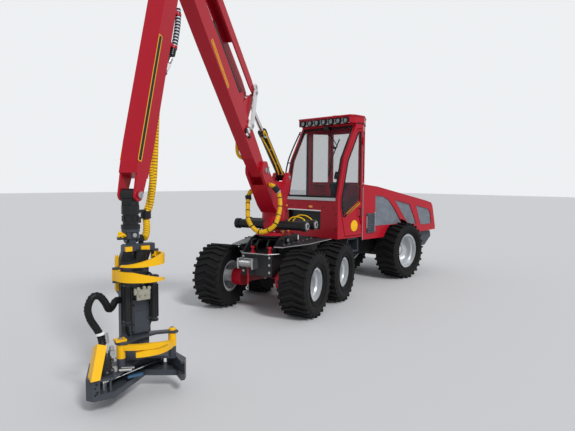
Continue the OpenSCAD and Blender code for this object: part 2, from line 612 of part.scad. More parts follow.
module rack_tubes() {
  color(black) at_front() translate([slew_x, rack_y, rack_z]) for (x = [-rack_x, rack_x]) {
    across(rack_d, rack_len, [x, 0, 0]);
    both_sides(rack_len / 2 - 30) across(rack_d + 22, 60, [x, 0, 0]);
  }
}
module winch() {
  color(silver) at_front() translate([front_frame_x + 75, -100, 675]) {
    across(88, 198);
    both_sides(110) slab([[-74.7, -70], [-74.7, 70], [50, 70], [62, 40], [62, -40], [50, -70]], 24);
    block([40, 220, 14], [-54.5, 0, 50]);
    block([22, 6, 322], [0, 20, -360]);
  }
}
// Crane. columns of the column's side outline: ahead of the slew axis, height
module column() {
  color(red) at_crane() {
    difference() {
      union() {
        translate([0, 0, column_z]) cylinder(d = 330, h = 60);
        slab(concat([[-165, column_z + 30], [180, column_z + 30], [330, column_z + 130], [boom_s + 100, boom_z - 60]],
                    arc([boom_s, boom_z], 118, -30, 120, 12),
                    [[boom_s - 150, boom_z - 20], [120, 1600], [10, 1590], [-lift_foot_s + 75, lift_foot_z + 20]],
                    arc([-lift_foot_s, lift_foot_z], 72, 20, 170, 8),
                    [[-lift_foot_s - 60, 1740], [-210, 1450]]), 240);
      }
      // slot for the boom's foot
      slab(concat([[boom_s - 150, 1730], [boom_s + 200, 1730], [boom_s + 200, boom_z + 200], [boom_s - 300, boom_z + 200], [boom_s - 190, boom_z - 60]]), boom_w + 2 * side_gap);
      // slot for the lift cylinder's foot
      slab([[-lift_foot_s - 200, lift_foot_z - 90], [-lift_foot_s + 100, lift_foot_z - 110], [-lift_foot_s + 260, lift_foot_z + 40], [-lift_foot_s + 200, lift_foot_z + 200], [-lift_foot_s - 200, lift_foot_z + 200]], lift_d + 2 * side_gap);
    }
    across(crane_pin_d, 264, [boom_s, 0, boom_z]);
    across(50, 264, [-lift_foot_s, 0, lift_foot_z]);
  }
}
// Points on the boom, along it and square to it
lever_foot = [655, 108];
lever_lean = 62.3;
lift_eye = [830, 420];
stick_foot = [1020, 215];
stick_arm = 180;
lever_top = lever_foot + lever_len * [cos(lever_lean), sin(lever_lean)];
plate_t = 16;
bar_y = 62;
lever_y = boom_w / 2 + side_gap + plate_t / 2;
boom_end_w = 110;
module boom() {
  color(red) at_boom() {
    difference() {
      union() {
        slab(concat(arc([0, 0], 92, 90, 270, 12), [[330, -boom_h / 2], [1900, -boom_h / 2], [boom_len - 130, -boom_h / 2 + 20], [boom_len - 130, 86],
          [1500, boom_h / 2], [500, boom_h / 2]]), boom_w);
        slab(concat([[boom_len - 140, -84]], arc([boom_len, 0], 84, -90, 90, 12), [[boom_len - 140, 84]]), boom_end_w);
        // brackets of the lift rod's eye and the stick cylinder's foot, seated on the boom's top
        both_sides(bar_y - plate_t - 5) {
          slab(concat([[lever_foot[0] + 60, boom_h / 2 + fit]], arc(lift_eye, 52, 170, 10, 8), [[lever_foot[0] + 330, boom_h / 2 + fit]]), 10);
          slab(concat([[stick_foot[0] - 60, boom_h / 2 + fit]], arc(stick_foot, 50, 180, 20, 8), [[stick_foot[0] + 90, boom_h / 2 + fit]]), 10);
        }
      }
      across(crane_pin_d + 2 * pin_fit, 300, [0, 0, 0]);
      across(crane_pin_d + 2 * pin_fit, 300, [boom_len, 0, 0]);
    }
    across(44, 2 * (lever_y + plate_t / 2) + 10, [lever_foot[0], 0, lever_foot[1]]);
    across(36, 2 * (bar_y - plate_t), [stick_foot[0], 0, stick_foot[1]]);

  }
}
lift_vec = [boom_s + lift_eye[0] * cos(boom_now) - lift_eye[1] * sin(boom_now) + lift_foot_s,
            boom_z + lift_eye[0] * sin(boom_now) + lift_eye[1] * cos(boom_now) - lift_foot_z];
lift_len = norm(lift_vec);
lift_angle = atan2(lift_vec[1], lift_vec[0]);
lift_barrel_len = 1000;
lift_rod_d = 55;
module at_lift() { at_crane() translate([-lift_foot_s, 0, lift_foot_z]) rotate([0, -lift_angle, 0]) children(); }
module cylinder_barrel(d, rod_d, len, eye_d, eye_w, pin_d) {
  difference() {
    union() {
      along(d, len - eye_d, [eye_d, 0, 0]);
      along(d + 12, 70, [len - 70, 0, 0]);
      across(eye_d, eye_w);
      translate([0, -eye_w / 2, -eye_d * 0.4]) cube([eye_d + 1, eye_w, eye_d * 0.8]);
    }
    across(pin_d + 2 * pin_fit, eye_w + d);
    along(rod_d + 2 * pin_fit, len, [eye_d + 30, 0, 0]);
  }
}
module lift_barrel() { color(black) at_lift() cylinder_barrel(lift_d, lift_rod_d, lift_barrel_len, 96, 104, 50); }
module lift_rod() {
  color(silver) at_lift() {
    along(lift_rod_d, lift_len - 600, [600, 0, 0]);
    across(84, 2 * (bar_y - plate_t - 10) - 2 * fit, [lift_len, 0, 0]);
  }
}
module lever() {
  color(silver) at_boom() both_sides(lever_y) difference() {
    slab(concat(arc(lever_foot, 42, 150, 330, 8), arc(lever_top, 46, -20, 160, 8)), plate_t);
    across(44 + 2 * pin_fit, 60, [lever_foot[0], 0, lever_foot[1]]);
    across(40 + 2 * pin_fit, 60, [lever_top[0], 0, lever_top[1]]);
  }
}
bar_vec = [boom_len, 0] - lever_foot;
bar_len = norm(bar_vec);
bar_angle = atan2(bar_vec[1], bar_vec[0]);
module at_bar() { at_boom() translate([lever_top[0], 0, lever_top[1]]) rotate([0, -bar_angle, 0]) children(); }
module link_bar() {
  color(red) at_bar() {
    both_sides(bar_y) slab(concat(arc([0, 0], 40, 110, 250, 6), [[160, -58], [bar_len - 200, -58]], arc([bar_len, 0], 40, -70, 70, 6), [[bar_len - 200, 58], [160, 58]]), plate_t);
    // web between the side plates
    block([bar_len - 950, 2 * (bar_y - plate_t / 2 - fit), 12], [bar_len / 2 + 225, 0, 46]);
    both_sides((bar_y + lever_y) / 2) across(40, lever_y - bar_y + plate_t + 8);
    both_sides(bar_y + plate_t / 2 + 12) across(40, 30, [bar_len, 0, 0]);
  }
}
stick_vec = [boom_len + stick_arm * cos(lever_lean), stick_arm * sin(lever_lean)] - stick_foot;
stick_cyl_len = norm(stick_vec);
stick_cyl_angle = atan2(stick_vec[1], stick_vec[0]);
stick_rod_d = 44;
module at_stick_cyl() { at_boom() translate([stick_foot[0], 0, stick_foot[1]]) rotate([0, -stick_cyl_angle, 0]) children(); }
module stick_barrel() { color(black) at_stick_cyl() cylinder_barrel(stick_cyl_d, stick_rod_d, 960, 70, 2 * (bar_y - plate_t - 10) - 2 * fit - 4, 36); }
module stick_rod() {
  color(silver) at_stick_cyl() {
    along(stick_rod_d, stick_cyl_len - 620, [620, 0, 0]);
    across(66, 2 * (fork_y - fit), [stick_cyl_len, 0, 0]);
  }
}
// Stick, along its own axis from the elbow to the tip; its horn reaches back past the elbow
horn_turn = lever_lean + stick_turn;
function on_horn(r) = [r * cos(horn_turn), r * sin(horn_turn)];
fork_y = boom_w / 2 + side_gap;
stick_open = 330;
module stick() {
  color(red) at_stick() {
    difference() {
      union() {
        both_sides(fork_y + 9) slab(concat(arc([0, 0], 95, -150, -60, 6), [[stick_open + 30, -stick_h / 2], [stick_open + 30, stick_h / 2]], arc([0, 0], 95, 60, 80, 2), arc(on_horn(lever_len), 48, horn_turn - 70, horn_turn + 70, 8)), 18);
        slab([[stick_open, -stick_h / 2], [stick_len - 420, -stick_h / 2], [stick_len - 160, -stick_h * 0.42], [stick_len - 160, stick_h * 0.42], [stick_len - 420, stick_h / 2], [stick_open, stick_h / 2]], 2 * fork_y + 4);
        // fork at the tip
        both_sides(fork_y - 8) slab(concat([[stick_len - 180, -70]], arc([stick_len, 0], 52, -80, 80, 8), [[stick_len - 180, 70]]), 20);
      }
      across(40 + 2 * pin_fit, 300, [on_horn(lever_len)[0], 0, on_horn(lever_len)[1]]);
    }
    across(crane_pin_d, 2 * (fork_y + 18) + 10);
    across(44, 2 * fork_y + 20, [stick_len, 0, 0]);
  }
}
// Tip link and rotator, hanging under the tip pin
link_drop = 95;
rotator_h = 86;
rotator_flange = 32;
link_disc = 60;
module tip_link() {
  color(black) at_tip() {
    difference() {
      union() {
        across(100, 2 * (fork_y - 18 - side_gap));
        block([90, 100, link_drop - 30], [0, 0, -link_drop]);
      }
      across(44 + 2 * pin_fit, 300);
    }
    translate([0, 0, -link_drop - link_disc]) cylinder(d = 140, h = link_disc + 10);
    // hose guide on an arm behind the link
    translate([-200, -14, -link_drop - link_disc + 4]) cube([140, 28, 24]);
    difference() {
      translate([-212, 0, -link_drop - link_disc - 50]) cylinder(d = 86, h = 64);
      translate([-212, 0, -link_drop - link_disc - 60]) cylinder(d = 58, h = 90);
    }
  }
}
module rotator() {
  color(black) at_tip() translate([0, 0, -link_drop - link_disc - fit - rotator_h]) {
    cylinder(d = 122, h = rotator_h);
    translate([0, 0, 30]) for (a = [0 : 45 : 315]) rotate([0, 0, a + 20]) block([14, 30, 44], [60, 0, 0]);
    translate([0, 0, -rotator_flange + 2]) cylinder(d = 150, h = rotator_flange);
    translate([0, 0, 10]) block([50, 66, 50], [-72, 0, 0]);
  }
}
// Felling head, upright: its own +X is the side that takes the trunk
yoke_top = tip_over - link_drop - link_disc - rotator_h - rotator_flange + 2 - 2 * fit;
tilt_drop = 70;
tilt_z = yoke_top - tilt_drop;
tilt_lug_r = 40;
tilt_pin_d = 40;
yoke_w = 96;
yoke_t = 16;
module head_yoke() {
  color(grey) at_head() {
    translate([0, 0, yoke_top - 24]) cylinder(d = 144, h = 24);
    both_sides(yoke_w / 2 - yoke_t / 2) slab(concat([[-54, yoke_top - 20]], arc([0, tilt_z], tilt_lug_r + 5, 190, 350, 10), [[54, yoke_top - 20]]), yoke_t);
    // front plate with its round boss
    block([10, yoke_w - 2, tilt_drop - 14], [51, 0, tilt_z - 8]);
    along(44, 12, [55, 6, tilt_z + 22]);
    across(tilt_pin_d, yoke_w + 20, [0, 0, tilt_z]);
    across(34, 60, [0, -yoke_w / 2 - 30, tilt_z]);
  }
}
saw_bottom = head_gap;
saw_top = saw_bottom + saw_h;
saw_y = 6.5;
saw_left = saw_y - saw_w / 2;
saw_right = saw_y + saw_w / 2;
spine_y = 52;
spine_front = -60;
spine_back = spine_front - head_d;
spine_waist = -112;
spine_low = saw_top + fit;
// columns: side of the hinge, place of the pin, lower face of the knife
trunk_y = 47;
upper_pin_x = -20;
upper_pin_y = sqrt(pow(knife_r, 2) - pow(60 - upper_pin_x, 2));
upper_left_z = 1115;
upper_right_z = 990;
hub_r = 32;
knife_pin_d = 34;
lug_plate = 16;
knife_gap = 2;
low_left_pin = [0, saw_right - 64];
low_right_pin = [40, saw_left + 295];
low_left_z = 372;
low_left_h = 61;
low_right_z = 438;
low_right_h = 43;
beam_z = 486;
beam_t = 20;
roller_z = 650;
roller_right = [10, trunk_y - 85];
roller_left = [2, trunk_y + 146];
roller_shaft_d = 22;
arm_t = 12;
module arms(pin, z) {
  side = pin[1] > trunk_y ? 1 : -1;
  difference() {
    translate([0, 0, z]) linear_extrude(arm_t) polygon(concat([[spine_front - 2, trunk_y + (side > 0 ? 75 : -50)]], side > 0 ? [] : [[spine_front - 2, trunk_y - 110]],
      arc(pin, 24, side > 0 ? -40 : -110, side > 0 ? 130 : 60, 8), side > 0 ? [[spine_front - 2, spine_y + head_w / 2 - 2]] : []));
    translate([pin[0], pin[1], z - 1]) cylinder(d = roller_shaft_d + 2 * pin_fit, h = arm_t + 2);
  }
}
module knife_lugs(side, z, h) {
  pin = [upper_pin_x, trunk_y + side * upper_pin_y];
  for (zz = [z - lug_plate - knife_gap, z + h + knife_gap]) translate([0, 0, zz]) linear_extrude(lug_plate)
    polygon(concat(side > 0 ? [[-88, spine_y + head_w / 2 - 4]] : [[spine_front - 2, spine_y - head_w / 2 + 4]], arc(pin, hub_r, side > 0 ? 180 : -90, side > 0 ? 0 : 90, 10) ,
      side > 0 ? [[spine_front + 40, spine_y + head_w / 2 - 40], [spine_front - 2, spine_y + head_w / 2 - 40]] : [[spine_front - 2, spine_y - head_w / 2 + 40]], side > 0 ? [] : []));
  translate([pin[0], pin[1], z - lug_plate]) cylinder(d = knife_pin_d - 2 * pin_fit, h = h + 2 * lug_plate);
}
module head_frame() {
  color(grey) at_head() {
    difference() {
      union() {
        // lug under the yoke
        slab(concat(arc([0, tilt_z], tilt_lug_r, 0, 180, 12), [[-tilt_lug_r, tilt_z - 70], [tilt_lug_r, tilt_z - 70]]), yoke_w - 2 * yoke_t - 2 * side_gap);
        // spine, waisted so that it clears the rotator and the hose guide when the head tilts up
        slab([[spine_waist, spine_low], [spine_front, spine_low], [spine_front, tilt_z - 200], [10, tilt_z - 108], [75, tilt_z - 104],
              [75, tilt_z - 50], [0, tilt_z - 50], [-tilt_lug_r - 1, tilt_z - 66], [-tilt_lug_r - 1, tilt_z - 112], [-118, tilt_z - 200],
              [-118, tilt_z - 330], [spine_back, tilt_z - 400], [spine_back, 880], [spine_waist, 850]], head_w, spine_y);
      }
      across(tilt_pin_d + 2 * pin_fit, 400, [0, 0, tilt_z]);
    }
    // front cover plate with its raised inner field
    slab([[spine_front - 1, 520], [spine_front + 24, 520], [spine_front + 24, 800], [spine_front - 1, 815]], 155, trunk_y + 50);
    slab([[spine_front + 22, 530], [spine_front + 30, 530], [spine_front + 30, 706], [spine_front + 22, 712]], 128, trunk_y + 50);
    for (pin = [roller_right, roller_left]) {
      arms(pin, roller_z - arm_t - knife_gap);
      arms(pin, roller_z + roller_len + knife_gap);
    }
    knife_lugs(1, upper_left_z, knife_h);
    knife_lugs(-1, upper_right_z, knife_h);
    // beam that carries the lower knives, and their pins down to the saw housing
    translate([0, 0, beam_z]) linear_extrude(beam_t)
      polygon([[spine_front - 40, spine_y - 110], [-30, low_right_pin[1] - 30], [40, low_right_pin[1] - 44], [80, low_right_pin[1] - 20], [90, low_right_pin[1] + 30],
               [20, 40], [-20, 220], [10, low_left_pin[1] - 50], [45, low_left_pin[1]], [34, low_left_pin[1] + 40], [-30, low_left_pin[1] + 40],
               [-34, low_left_pin[1]], [spine_front - 40, spine_y + 115]]);
    for (k = [[low_left_pin, low_left_z], [low_right_pin, low_left_z]]) translate([k[0][0], k[0][1], spine_low]) {
      cylinder(d = knife_pin_d - 2 * pin_fit, h = beam_z + 1 - spine_low);
      cylinder(d = 64, h = k[1] - fit - spine_low);
    }
  }
}
// Yellow guard of the saw motor, side strip, knife cylinder caps and the plate on the beam
module head_covers() {
  color(yellow) at_head() {
    intersection() {
      block([500, 400, 400], [0, saw_left + 155, spine_low]);
      translate([186, 0, spine_low]) rotate([0, -25, 0]) {
        rotate([90, 0, 90]) linear_extrude(10) polygon([[saw_left + 10, 0], [saw_left + 78, 0], [saw_left + 168, 243], [saw_left + 100, 268]]);
        translate([-110, 0, 0]) rotate([90, 0, 90]) linear_extrude(116) polygon([[saw_left + 10, 0], [saw_left + 20, 0], [saw_left + 110, 268], [saw_left + 100, 268]]);
        translate([-110, 0, 0]) rotate([90, 0, 90]) linear_extrude(10) polygon([[saw_left + 12, 10], [saw_left + 40, 10], [saw_left + 104, 250], [saw_left + 100, 262]]);
      }
    }
    slab([[-116, 885], [-94, 885], [-94, tilt_z - 152], [-104, tilt_z - 152], [-116, tilt_z - 190]], 24, spine_y - head_w / 2 - fit - 12);
    block([22, 52, 36], [75 + fit + 11, -52, tilt_z - 102]);
    block([22, 70, 32], [75 + fit + 11, 84, tilt_z - 98]);
    block([74, 86, 18], [30, low_right_pin[1] - 2, beam_z + beam_t + fit]);
  }
}
saw_pivot = [45, saw_left + 150];
module head_motors() {
  color(black) at_head() {
    translate([saw_pivot[0] + 25, saw_pivot[1] + 5, spine_low]) {
      cylinder(d = 100, h = 144);
      cylinder(d = 120, h = 22);
      translate([-20, -10, 143]) cylinder(d = 58, h = 42);
    }
    for (pin = [roller_right, roller_left]) translate([pin[0], pin[1], roller_z + roller_len + knife_gap + arm_t + fit]) cylinder(d = 58, h = 30);
  }
}
module feed_roller(pin) {
  at_head() translate([pin[0], pin[1], roller_z]) {
    cylinder(d = roller_d - 12, h = roller_len);
    for (a = [0 : 36 : 324]) rotate([0, 0, a]) translate([roller_d / 2 - 9, -3, 4]) cube([9, 6, roller_len - 8]);
    translate([0, 0, -arm_t - knife_gap]) cylinder(d = roller_shaft_d, h = roller_len + 2 * arm_t + 2 * knife_gap);
  }
}
module feed_roller_left() { color(black) feed_roller(roller_left); }
module feed_roller_right() { color(black) feed_roller(roller_right); }
// An upper knife: an arc round the trunk, whose height tapers towards its tip
module upper_knife(z) {
  translate([0, 0, z]) difference() {
    union() {
      intersection() {
        linear_extrude(knife_h) polygon(concat(arc([60, 0], knife_r + 14, 112, -72, 20), arc([60, 0], knife_r - 12, -75, 112, 20)));
        rotate([90, 0, 90]) translate([0, 0, -200]) linear_extrude(600)
          polygon([[250, 8], [100, 8], [-200, 0], [-200, 4], [110, knife_h], [250, knife_h]]);
      }
      translate([upper_pin_x, upper_pin_y, 0]) cylinder(r = hub_r, h = knife_h);
    }
    translate([upper_pin_x, upper_pin_y, -1]) cylinder(d = knife_pin_d, h = knife_h + 2);
  }
}
// A lower knife: arc centre, radius and angles in plan, its pin, lower face, height and hub
module low_knife(centre, r, a, b, pin, z, h, hub_z, hub_h, taper) {
  difference() {
    union() {
      intersection() {
        translate([0, 0, z]) linear_extrude(h) polygon(concat(arc(centre, r + 20, a, b, 14), arc(centre, r - 18, b, a, 14)));
        rotate([90, 0, 90]) translate([0, 0, -200]) linear_extrude(600) polygon(taper);
      }
      translate([pin[0], pin[1], hub_z]) cylinder(r = hub_r + 2, h = hub_h);
    }
    translate([pin[0], pin[1], hub_z - 1]) cylinder(d = knife_pin_d, h = hub_h + 2);
  }
}
module knife_left() { color(yellow) at_head() translate([0, trunk_y, 0]) upper_knife(upper_left_z); }
module knife_right() { color(yellow) at_head() translate([0, trunk_y, 0]) mirror([0, 1, 0]) upper_knife(upper_right_z); }
low_hub_h = beam_z - low_left_z - knife_gap;
low_left_arc = low_left_pin + [-200, -276];
low_right_arc = low_right_pin + [-199, 242];
module low_knife_left() {
  color(yellow) at_head() low_knife(low_left_arc, 341, 54, -17, low_left_pin, low_left_z, low_left_h, low_left_z, low_hub_h,
    [[400, low_left_z], [180, low_left_z], [-60, low_left_z + 12], [-140, low_left_z + 22], [-140, low_left_z + 34], [60, low_left_z + low_left_h], [400, low_left_z + low_left_h]]);
}
module low_knife_right() {
  color(yellow) at_head() low_knife(low_right_arc, 313, -50, 27, low_right_pin, low_right_z, low_right_h, low_left_z, low_hub_h,
    [[-300, low_right_z], [150, low_right_z], [260, low_right_z + 14], [260, low_right_z + 24], [120, low_right_z + low_right_h], [-300, low_right_z + low_right_h]]);
}
saw_floor = 50;
saw_roof = 20;
module saw_box() {
  color(grey) at_head() difference() {
    translate([0, 0, saw_bottom]) linear_extrude(saw_h)
      polygon([[-230, saw_left + 130], [100, saw_left], [165, saw_left + 33], [180, saw_left + 195], [-108, 154], [54, saw_right - 54],
               [185, saw_right - 77], [190, saw_right - 46], [128, saw_right], [-120, saw_right], [-230, saw_right - 88]]);
    // slot that the bar swings through
    translate([0, 0, saw_bottom + saw_floor]) linear_extrude(saw_h - saw_floor - saw_roof)
      polygon([[-60, saw_left + 100], [0, saw_left + 85], [420, saw_left + 85], [420, saw_right - 40], [-190, saw_right - 40], [-190, saw_left + 245]]);
    // step back of the top plate over the notch
    translate([0, 0, saw_top - saw_roof - 1]) linear_extrude(saw_roof + 2)
      polygon([[200, saw_left + 195], [172, saw_left + 195], [-128, 150], [38, saw_right - 50], [170, saw_right - 75], [172, saw_right - 79], [400, saw_right - 90]]);
    // holes in the block beside the bar's root
    for (h = [[saw_left + 48, 46], [saw_left + 48, 100], [saw_left + 66, 70]]) along(14, 60, [150, h[0], saw_bottom + h[1]]);
  }
  color(grey) at_head() block([20, 14, saw_h - saw_floor - saw_roof + 2], [158, saw_left + 165, saw_bottom + saw_floor - 1]);
}
bar_t = 8;
bar_reach = 590;
bar_rest = 110;
module saw_bar() {
  color(silver) at_head() translate([saw_pivot[0], saw_pivot[1], saw_bottom + saw_floor + fit]) {
    cylinder(d = 60, h = saw_h - saw_floor - saw_roof - 2 * fit);
    translate([0, 0, 44]) rotate([0, 0, bar_rest]) linear_extrude(bar_t) polygon(concat([[0, 34], [0, -34]], arc([bar_reach, 0], 24, -90, 90, 8)));
  }
}
// Hoses: hand-chosen points
column_hose = [[520, 120.4, 1730], [520, 128, 1730], [520, 150, 1730], [500, 215, 1690], [454, 249, 1570], [515, 272, 1404], [630, 247, 1213], [662, 114, 1125],
               [673, -1, 1140], [657, -109, 1260], [532, -174, 1412], [425, -212, 1560], [440, -172, 1640], [440, -150, 1640], [440, -128, 1640], [440, -120.4, 1640]];
module hose_column() { color(yellow) at_crane() tube(smooth(column_hose, 4), 30, [1, 0, 0]); }
stick_hose = [[800, 0, -129.4], [1100, 0, -129.4], [1500, 0, -129.4], [1700, 0, -129.4], [1850, 0, -129.4]];
module hose_stick() { color(yellow) at_stick() tube(smooth([for (p = stick_hose) [p[0], p[1], p[2]]], 5), 34, [0, 1, 0]); }
hose_side = spine_y - head_w / 2 - fit;
head_hose = [[-80, hose_side, 812], [-80, hose_side - 12, 812], [-80, hose_side - 26, 812], [-77, hose_side - 40, 805], [-50, -146, 769], [-30, -178, 765], [0, -216, 830], [4, -262, 886],
             [10, -318, 882], [16, -354, 800], [20, -336, 715], [24, -300, 650], [30, -270, 590], [34, -258, 542],
             [50, saw_pivot[1] - 5, spine_low + 214], [50, saw_pivot[1] - 5, spine_low + 198], [50, saw_pivot[1] - 5, spine_low + 185.4]];
module hose_head() { color(black) at_head() tube(smooth(head_hose, 4), 29, [1, 0, 0]); }

rear_chassis();
rear_axle();
engine_block();
hood();
hood_mesh();
rear_bumper();
cab_shell();
front_box();
cab_glass();
cab_roof();
roof_lamps();
seat();
console();
cab_steps();
door();
door_glass();
front_chassis();
deck();
slew_house();
rack_tubes();
bogie_beams();
winch();
column();
boom();
lift_barrel();
lift_rod();
lever();
link_bar();
stick_barrel();
stick_rod();
stick();
tip_link();
rotator();
head_yoke();
head_frame();
head_covers();
head_motors();
feed_roller_left();
feed_roller_right();
knife_left();
knife_right();
low_knife_left();
low_knife_right();
saw_box();
saw_bar();
tyre_rear_left();
rim_rear_left();
tyre_rear_right();
rim_rear_right();
tyre_front_left();
rim_front_left();
tyre_front_right();
rim_front_right();
tyre_mid_left();
rim_mid_left();
tyre_mid_right();
rim_mid_right();
hose_column();
hose_stick();
hose_head();
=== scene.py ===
# %% [markdown]
# The machine is a small thinning harvester: a cab and engine on two wheels behind a hinged joint, and a
# bogie frame with a parallel crane in front of it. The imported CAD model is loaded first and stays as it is.
# Everything made here is laid on it, in metres and in the same frame.

# %% Load the frame
import json
import math

import bmesh
import bpy
from mathutils import Matrix, Vector


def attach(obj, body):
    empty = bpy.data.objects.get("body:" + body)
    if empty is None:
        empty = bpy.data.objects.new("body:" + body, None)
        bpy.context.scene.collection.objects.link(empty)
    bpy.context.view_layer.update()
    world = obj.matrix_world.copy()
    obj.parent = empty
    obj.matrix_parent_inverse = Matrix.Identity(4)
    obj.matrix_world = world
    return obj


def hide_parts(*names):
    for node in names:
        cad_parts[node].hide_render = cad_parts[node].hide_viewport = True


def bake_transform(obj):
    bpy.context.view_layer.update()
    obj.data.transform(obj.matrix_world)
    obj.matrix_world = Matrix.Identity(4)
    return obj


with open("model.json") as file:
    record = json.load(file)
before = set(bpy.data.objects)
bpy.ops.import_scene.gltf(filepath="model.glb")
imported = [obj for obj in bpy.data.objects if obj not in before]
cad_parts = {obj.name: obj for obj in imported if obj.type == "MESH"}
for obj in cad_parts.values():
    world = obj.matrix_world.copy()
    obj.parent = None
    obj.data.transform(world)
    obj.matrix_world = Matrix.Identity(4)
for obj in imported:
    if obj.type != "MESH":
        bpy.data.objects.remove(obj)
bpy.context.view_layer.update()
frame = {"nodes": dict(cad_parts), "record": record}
nodes = frame["nodes"]
scene = bpy.context.scene

# %% [markdown]
# The joint between the two halves is the CAD's origin. The front frame is turned from the rear one, the
# crane from the front frame, and the head from the crane. One matrix for each section lets a detail be
# written in the numbers that a draughtsman reads off.

# %% Local systems of the machine's sections
JOINT = (-1130.18, -717.43, 0)
STEER, SLEW, BOOM, STICK, HEAD = (math.radians(a) for a in (18, 8, 43.6, -73, 57))
SLEW_X, BOOM_X, BOOM_Z, BOOM_LEN, STICK_LEN = 1800, 630, 1920, 2830, 2300
TIP_X = BOOM_X + BOOM_LEN * math.cos(BOOM) + STICK_LEN * math.cos(STICK)
TIP_Z = BOOM_Z + BOOM_LEN * math.sin(BOOM) + STICK_LEN * math.sin(STICK)
SIDES = (("right", -1), ("left", 1))


def placed(at, x, y, z, turn=0.0, axis="Z"):
    """The local system, moved by millimetres along its own axes and then turned."""
    return at @ Matrix.Translation((x / 1000, y / 1000, z / 1000)) @ Matrix.Rotation(turn, 4, axis)


at_rear = placed(Matrix(), *JOINT)
at_front = placed(at_rear, 0, 0, 0, STEER)
at_crane = placed(at_front, SLEW_X, 0, 0, SLEW)
at_boom = placed(at_crane, BOOM_X, 0, BOOM_Z, -BOOM, "Y")
at_stick = placed(at_boom, BOOM_LEN, 0, 0, BOOM - STICK, "Y")
at_tip = placed(at_crane, TIP_X, 0, TIP_Z)
at_head = placed(at_crane, TIP_X, 0, 0, HEAD)
print("tip ahead of the slew axis", round(TIP_X), "mm")

# %% [markdown]
# The camera stands 1.8 m up, in front of the machine and to its left, and looks slightly down. It could be
# aimed with a constraint, but a matrix from three directions leaves nothing live in the scene.

# %% Camera
EYE = Vector((5.6258, 5.0726, 1.8))
LOOK = Vector((-0.7133, -0.7009, 0)).normalized()
PITCH, ROLL, LENS, SENSOR = math.radians(-4.0), math.radians(0.4), 31.95, 36
ahead = Vector((LOOK.x * math.cos(PITCH), LOOK.y * math.cos(PITCH), math.sin(PITCH)))
sideways = ahead.cross(Vector((0, 0, 1))).normalized()
above = sideways.cross(ahead)
camera_data = bpy.data.cameras.new("camera")
camera_data.lens, camera_data.sensor_width = LENS, SENSOR
camera = bpy.data.objects.new("camera", camera_data)
aim = Matrix((sideways, above, -ahead)).transposed().to_4x4()
camera.matrix_world = Matrix.Translation(EYE) @ aim @ Matrix.Rotation(ROLL, 4, "Z")
scene.collection.objects.link(camera)
scene.camera = camera
print("lens", LENS)

# %% [markdown]
# Materials, the sky and the geometry trees are all made of nodes, and need only two things: a node with its
# values, and links. So both are written once.

# %% Nodes and links
def give(node, values):
    for socket, value in values.items():
        node.inputs[socket].default_value = value


def add(tree, kind, values=None, **options):
    """A new node. Its options are set first, because they can change its sockets."""
    node = tree.nodes.new(kind)
    for option, value in options.items():
        setattr(node, option, value)
    give(node, values or {})
    return node


def join(tree, *rows):
    """Links from rows of a node, its output, the next node and its input."""
    for source, output, target, entry in rows:
        tree.links.new(source.outputs[output], target.inputs[entry])


def blank(name):
    made = bpy.data.materials.new(name)
    made.use_nodes = True
    return made, made.node_tree, made.node_tree.nodes["Principled BSDF"]


# %% [markdown]
# The floor is pale and plain, and an even sky renders a colour about as it is written. One wide sun gives
# the shadow its direction. The camera and the glass see a brighter sky than the one that lights the
# machine, which keeps the background pale without more light on the paint.

# %% Floor and light
FLOOR_REACH = 60
SKY_LIGHT, SKY_SEEN = 0.62, 0.95
SUN_PLACE, SUN_STRENGTH, SUN_WIDTH = (2, 10, 9), 1.85, math.radians(12)
scene.view_settings.view_transform = "Standard"

floor_mesh = bpy.data.meshes.new("floor")
corners = [(x * FLOOR_REACH, y * FLOOR_REACH, 0) for x, y in ((-1, -1), (1, -1), (1, 1), (-1, 1))]
floor_mesh.from_pydata(corners, [], [(0, 1, 2, 3)])
floor = bpy.data.objects.new("floor", floor_mesh)
scene.collection.objects.link(floor)
floor_grey, _, shader = blank("floor_grey")
give(shader, {"Base Color": (0.62, 0.62, 0.63, 1), "Roughness": 0.8})
floor_mesh.materials.append(floor_grey)

world = bpy.data.worlds.new("sky")
scene.world = world
world.use_nodes = True
tree = world.node_tree
tree.nodes.clear()
light_sky = add(tree, "ShaderNodeBackground", {"Color": (0.93, 0.96, 1, 1), "Strength": SKY_LIGHT})
seen_sky = add(tree, "ShaderNodeBackground", {"Color": (0.9, 0.92, 0.94, 1), "Strength": SKY_SEEN})
path = add(tree, "ShaderNodeLightPath")
seen = add(tree, "ShaderNodeMath", operation="MAXIMUM")
mix = add(tree, "ShaderNodeMixShader")
out = add(tree, "ShaderNodeOutputWorld")
join(tree, (path, "Is Camera Ray", seen, 0), (path, "Is Transmission Ray", seen, 1), (seen, 0, mix, 0),
     (light_sky, 0, mix, 1), (seen_sky, 0, mix, 2), (mix, 0, out, 0))

sun_data = bpy.data.lights.new("sun", "SUN")
sun_data.energy, sun_data.angle = SUN_STRENGTH, SUN_WIDTH
sun = bpy.data.objects.new("sun", sun_data)
sun.location = SUN_PLACE
sun.rotation_euler = (-Vector(SUN_PLACE)).to_track_quat("-Z", "Y").to_euler()
scene.collection.objects.link(sun)
print("sky", SKY_LIGHT, "sun", SUN_STRENGTH)

# %% [markdown]
# Each finish is one node material, named for the real one, except two that hold painted shade: the dark core
# between a yellow hose's ribs, and the dark sheet behind the hood's mesh. Paint is a coat over its colour,
# with dust low on the machine. An image could show that too, but noise on Object coordinates needs no
# unwrapping, and one function makes every finish, because they differ only in colour, gloss, grain and dust.

# %% Finishes
BLACK = (0.010, 0.0105, 0.012)
DUST_COLOUR, DUST_TOP, DUST_ABOVE = (0.30, 0.28, 0.26, 1), 1.2, 0.12
METAL_SHINE, PAINT_SHINE, GLOSS_RANGE = 0.5, 0.22, 0.06
finishes = {}


